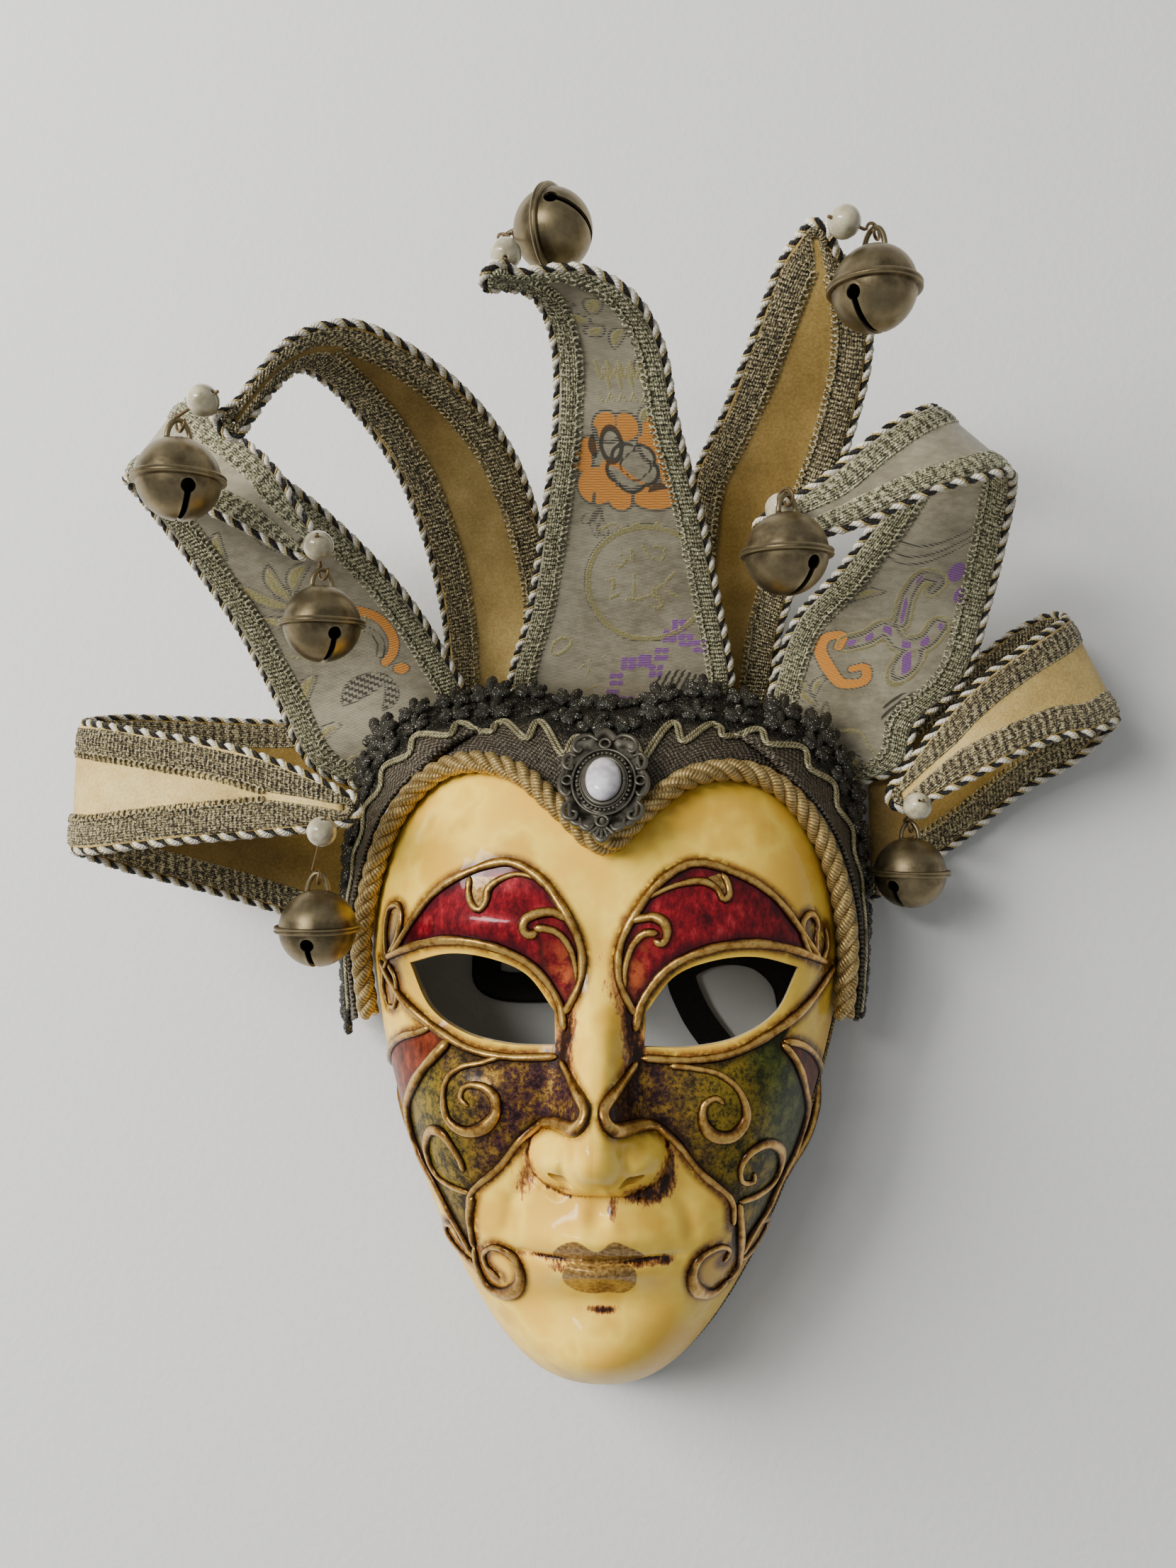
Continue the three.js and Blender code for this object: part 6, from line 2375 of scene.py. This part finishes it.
@dataclass
class Ray:
    """One belled ray: cloth-covered card, braid, edge cord, bell, pearl and wire."""

    plan: RayPlan
    braid: Finishes
    card: float = 2.4
    braid_width: float = 9.6
    pitch: float = 6.4

    NARROW_BRAIDS = {"centre": 6.4, "side_left": 7.8, "side_right": 7.8}

    def build(self, bell: "Bell", cord: TwistedCord) -> None:
        """Makes all of the ray's pieces.

        Args:
            bell: The bell's pattern.
            cord: The edge cord's tree.
        """
        shape = RayShape(self.plan.stations)
        cloth = Finishes.BROCADE if self.plan.brocade else Finishes.VELVET
        settle(self._cloth(shape, cloth), cloth, f"{self.plan.name}_ray")
        self.braid_width = self.NARROW_BRAIDS.get(self.plan.name, self.braid_width)
        settle(self._braid(shape), self.braid, f"{self.plan.name}_braid")
        self._edge_cord(shape, cord)
        bell.hang(self.plan)
        self._pearl()
        self._link(bell)

    def _cloth(self, shape: RayShape, finish: Finishes) -> Piece:
        """The covered card."""
        spacing, columns = (1.05, 67) if self.plan.brocade else (2.2, 17)
        places = shape.frames(spacing)
        reach = np.linspace(-1, 1, columns)[None] * (places.half[:, None] - 1.0)
        travelled = lengths_along(places.middle)
        along = np.repeat(travelled[:, None], columns, 1)
        pull = 0.35 * np.sin(along / 7 + reach / 9) * np.sin(along / 17 + 1)
        flat = places.middle[:, None] + places.across[:, None] * reach[..., None]
        facing = places.facing[:, None]
        # Painted light on the velvet, going from its foot's amount to its tip's.
        foot, tip = self.plan.brushed
        brushed = foot + (tip - foot) * smoothstep(along / travelled[-1], 0.42, 0.6)
        values = {"along": along, "across": reach, "brushed": brushed}
        if self.plan.brocade:
            figures = Figures(np.stack([reach.reshape(-1), along.reshape(-1)], -1))
            drawn = {"side_left": figures.on_left, "side_right": figures.on_right}
            for key, inside in drawn.get(self.plan.name, figures.on_centre)().items():
                values[key] = inside.reshape(reach.shape)
        draft = MeshDraft()
        front = flat + facing * (self.card / 2 + pull)[..., None]
        draft.add_slab(front, flat - facing * (self.card / 2), **values)
        return draft.object(f"{self.plan.name}_cloth", finish)

    def _braid(self, shape: RayShape) -> Piece:
        """Gimp sewn on both sides along the outline, with picot loops on the front."""
        draft = MeshDraft()
        for side, spacing in ((1, 0.52), (-1, 1.1)):
            line = shape.outline(spacing)
            outer = line.half - 1.1
            inner = np.maximum(outer - self.braid_width, 0.9)
            ribbed_strip(draft, line.middle, line.across, line.facing * side, inner, outer, 1.0)
        gimp = draft.object(f"{self.plan.name}_gimp", self.braid)
        line = shape.outline(2.1)
        inner = np.maximum(line.half - 1.1 - self.braid_width, 0.9)
        wide = inner > 1.5
        spots = line.middle + line.across * (inner - 0.5)[:, None]
        spots = spots + line.facing * (self.card / 2 + 0.5)
        places = (spots[wide], line.facing[wide], line.ahead[wide])
        loops = SetOut(f"{self.plan.name}_picot_row")
        loops = loops.lay(f"{self.plan.name}_picots", self.braid, picot(), places, 1.0, 0.12, 5)
        return join(f"{self.plan.name}_gimp", gimp, loops)

    def _edge_cord(self, shape: RayShape, cord: TwistedCord) -> None:
        """The cord over the edge."""
        line = shape.outline(1.6)
        points = line.middle + line.across * line.half[:, None]
        name, finish = self.plan.name, Finishes.EDGE_CORD
        piping = cord_along(f"{name}_piping", finish, cord, points, self.pitch, 1.0)
        settle(piping, finish, f"{name}_cord")

    def _pearl(self) -> None:
        """The drilled pearl on the tip."""
        radius, hole = 4.8, 0.55
        start = math.asin(hole / radius)
        rise = np.linspace(start, math.pi - start, 22)
        profile = [(radius * math.sin(a), radius * math.cos(a)) for a in rise]
        profile += [(hole, -radius * 0.9 + 0.9 * step * radius * 0.5) for step in range(4)]
        rows = [oval(turns(36), r, r, z) for r, z in profile]
        basis = self._towards_bell()
        draft = MeshDraft()
        draft.add_grid(np.stack(rows) @ basis.T + self.plan.pearl, (True, True))
        pearl = draft.object(f"{self.plan.name}_bead", Finishes.PEARL)
        settle(pearl, Finishes.PEARL, f"{self.plan.name}_pearl")

    def _towards_bell(self) -> Array:
        """Basis whose z axis points from the pearl to the bell's shank."""
        above = Vector(Bell.axes(self.plan) @ (0, 0, 17.0))
        towards = above + Vector(self.plan.bell) - Vector(self.plan.pearl)
        return np.array(towards.to_track_quat("Z", "X").to_matrix())

    def _link(self, bell: "Bell") -> None:
        """The wire through the pearl and round the bell's shank."""
        axes = Bell.axes(self.plan)
        pearl = np.array(self.plan.pearl)
        local = (pearl - self.plan.bell) @ axes
        middle = np.array([0, 0, bell.shank_top - 0.9])
        start = math.atan2(local[2] - middle[2], local[0])
        angles = start + np.linspace(0, 1.94 * math.pi, 30) * (1 if local[0] >= 0 else -1)
        ring = np.stack([np.cos(angles), np.linspace(-0.5, 0.5, 30), np.sin(angles)], -1)
        ring = middle + 2.5 * ring
        ring = ring @ axes.T + self.plan.bell
        back = unit(pearl - ring[0])
        stem = [pearl + back * 6.0, pearl + back * 5.0, pearl, pearl * 0.4 + ring[0] * 0.6]
        line = Path(np.vstack([stem, ring])).even(0.8)
        draft = MeshDraft()
        draft.add_tube(line, 0.5, 8)
        wire = draft.object(f"{self.plan.name}_wire", Finishes.WIRE)
        settle(wire, Finishes.WIRE, f"{self.plan.name}_link")


@dataclass
class Bell:
    """Crotal bell of two brass halves with a keyhole slot and a wire shank."""

    radius: float = 12.5
    wall: float = 0.9
    slit: float = 1.9
    eye: float = 2.2
    slot_rise: float = -20.0
    segments: int = 60
    shank_half: float = 3.4
    shank_height: float = 7.0
    shank_wire: float = 1.7
    pattern: Piece | None = None

    @property
    def shank_top(self) -> float:
        """Height of the shank's wire over the bell's centre."""
        return self.radius - 0.8 + self.shank_height - self.shank_wire / 2

    @staticmethod
    def axes(plan: RayPlan) -> Array:
        """The bell's axes as columns: towards the slot's end, square to it, and up the shank."""
        up = unit(np.array(plan.shank))
        towards = np.array(plan.slot) - up * (np.array(plan.slot) @ up)
        towards = unit(towards)
        return np.stack([towards, np.cross(up, towards), up], 1)

    def make(self) -> None:
        """Makes the pattern that every bell is copied from."""
        below = [(13.0, -1.05), (13.8, -0.95), (14.0, -0.6), (13.7, -0.15)]
        seam = below + [(x, -z) for x, z in reversed(below)]
        outer = self._arc(self.radius, -89, -5.5) + seam + self._arc(self.radius, 5.5, 89)
        body = self._lathe(outer, "bell_body")
        cut(body, self._lathe(self._arc(self.radius - self.wall, -89, 89), "bell_hollow"))
        rise = math.radians(self.slot_rise)
        slot_x, slot_z = math.cos(rise), math.sin(rise)
        end_x, end_z = self.radius * slot_x, self.radius * slot_z
        cut(body, self._bar((-end_x, 0, end_z - 8), (end_x, 0, end_z - 8), self.slit / 2, 8.0, 4))
        for side in (-1, 1):
            away = np.array([side * slot_x, 0, slot_z])
            cut(body, self._bar(away * 8.5, away * 16.5, self.eye, self.eye, 24))
        body.data.set_sharp_from_angle(angle=math.radians(32))
        loop = MeshDraft()
        angles = np.linspace(0, math.pi, 22)
        foot = self.radius - 0.8
        rise = foot + (self.shank_top - foot) * np.sin(angles)
        wire = np.stack([0 * angles, self.shank_half * np.cos(angles), rise], -1)
        loop.add_tube(wire, self.shank_wire / 2, 12)
        self.pattern = join("bell_pattern", body, loop.object("shank", Finishes.BELL))

    @staticmethod
    def _arc(radius: float, start: float, end: float) -> list[Flat]:
        """Points of a quarter or half circle's profile."""
        count = max(int((end - start) / 7), 4)
        angles = np.radians(np.linspace(start, end, count))
        return [(radius * math.cos(a), radius * math.sin(a)) for a in angles]

    def _lathe(self, profile: Route, name: str) -> Piece:
        """A solid turned about the bell's axis."""
        rows = [oval(turns(self.segments), r, r, z) for r, z in profile]
        return solid(rows, name, Finishes.BELL)

    @staticmethod
    def _bar(start: Point, end: Point, half_y: float, half_z: float, sides: int) -> Piece:
        """A straight bar with a round or a four-cornered section."""
        start, end = np.array(start, float), np.array(end, float)
        along = unit(end - start)
        up = np.cross(along, (0, 1.0, 0)) * -1.0
        offset, grow = (0.5, math.sqrt(2)) if sides == 4 else (0, 1)
        angles = (np.arange(sides) + offset) / sides * TURN
        ring = np.cos(angles)[:, None] * np.array([0, half_y, 0])
        ring = ring + np.sin(angles)[:, None] * up * half_z
        return solid([start + ring * grow, end + ring * grow], "bell_tool", Finishes.BELL)

    def hang(self, plan: RayPlan) -> None:
        """Puts a copy of the bell at a ray's tip."""
        made = self.pattern.copy()
        made.data = self.pattern.data.copy()
        made.name = f"{plan.name}_crotal_bell"
        points = read_points(made.data) @ self.axes(plan).T + plan.bell
        made.data.vertices.foreach_set("co", in_metres(points).reshape(-1))
        made.data.update()
        bpy.context.scene.collection.objects.link(made)
        settle(made, Finishes.BELL, f"{plan.name}_bell")

    def put_away(self) -> None:
        """Throws the pattern away."""
        bpy.data.objects.remove(self.pattern)


# The setting


@dataclass
class Studio:
    """Pale floor, soft window light and the camera."""

    eye: Point = (0.02794, -0.04217, 0.449)
    right: Point = (0.9969, 0.0109, -0.0776)
    up: Point = (0.0, 0.9904, 0.1385)
    back: Point = (0.0783, -0.1381, 0.9873)
    lens: float = 27.03

    def build(self) -> None:
        """Makes the floor, lights and camera."""
        draft = MeshDraft()
        reach = np.linspace(-1500, 1500, 9)
        x, y = np.meshgrid(reach, reach, indexing="ij")
        draft.add_grid(np.stack([x, y, np.full_like(x, -0.4)], -1))
        floor = draft.object("pale_floor", Finishes.FLOOR, outward=False)
        for pane in (-0.11, 0.11):
            side = "left" if pane < 0 else "right"
            self._light(f"window_{side}", (pane - 0.76, 0.34, 1.3), (0.16, 0.55), 5.0, True)
        self._light("bright_room", (-1.6, 0.6, 1.1), (1.4, 1.4), 96.0, False)
        world = bpy.context.scene.world or bpy.data.worlds.new("studio")
        bpy.context.scene.world = world
        world.use_nodes = True
        nodes = world.node_tree.nodes
        sky = nodes.get("Background") or nodes.new("ShaderNodeBackground")
        sky.inputs["Color"].default_value = (0.96, 0.98, 1.0, 1)
        sky.inputs["Strength"].default_value = 0.37
        self._camera()

    @staticmethod
    def _light(
        name: str, place: Point, size: Flat, power: float, mirrored: bool
    ) -> None:
        """A soft rectangular light turned to the mask.

        Args:
            name: Its name.
            place: Where it hangs.
            size: Its width and height.
            power: Its power in watts.
            mirrored: Whether it shows in glossy surfaces.
        """
        lamp = bpy.data.lights.new(name, "AREA")
        lamp.shape = "RECTANGLE"
        lamp.size, lamp.size_y = size
        lamp.energy = power
        lamp.color = (1.0, 0.985, 0.96)
        made = link(name, lamp)
        made.location = place
        made.visible_glossy = mirrored
        towards = Vector((0, 0, 0.05)) - Vector(place)
        made.rotation_euler = towards.to_track_quat("-Z", "Y").to_euler()

    def _camera(self) -> None:
        """The camera over the mask."""
        data = bpy.data.cameras.new("over_the_mask")
        data.lens = self.lens
        data.sensor_width = 36
        made = link("over_the_mask", data)
        axes = Matrix((self.right, self.up, self.back)).transposed().to_4x4()
        made.matrix_world = Matrix.Translation(self.eye) @ axes
        bpy.context.scene.camera = made


def main() -> None:
    """Builds every sub-assembly in order."""
    logging.basicConfig(level=logging.INFO, format="%(message)s")
    PaintedFace().build()
    HeartRope().build()
    LaceTrim().build()
    RimBraid().build()
    Brooch().build()
    folded = (
        (-12, 12.8), (-42, 12.8), (-47.4, 10.2), (-48, 5.6), (-47.4, 1), (-42, -1.6), (-12, -1.4),
    )
    looped = ((67, -12), (64, 2), (54, 11), (38, 12), (26, 5), (30, -9), (42, -26))
    TieRibbon("tie_ribbon_left", folded).build()
    TieRibbon("tie_ribbon_right", looped).build()
    bell = Bell()
    bell.make()
    strands = [(0.72, 0.78, 0.0, 0), (0.8, 0.95, 0.46, 1), (1.25, 0.36, 0.23, 2)]
    cord = TwistedCord("edge_cord_lay", strands, 7)
    for plan in RAYS:
        Ray(plan, Finishes.COOL_GIMP if plan.brocade else Finishes.WARM_GIMP).build(bell, cord)
    bell.put_away()
    Studio().build()


if __name__ == "__main__":
    main()
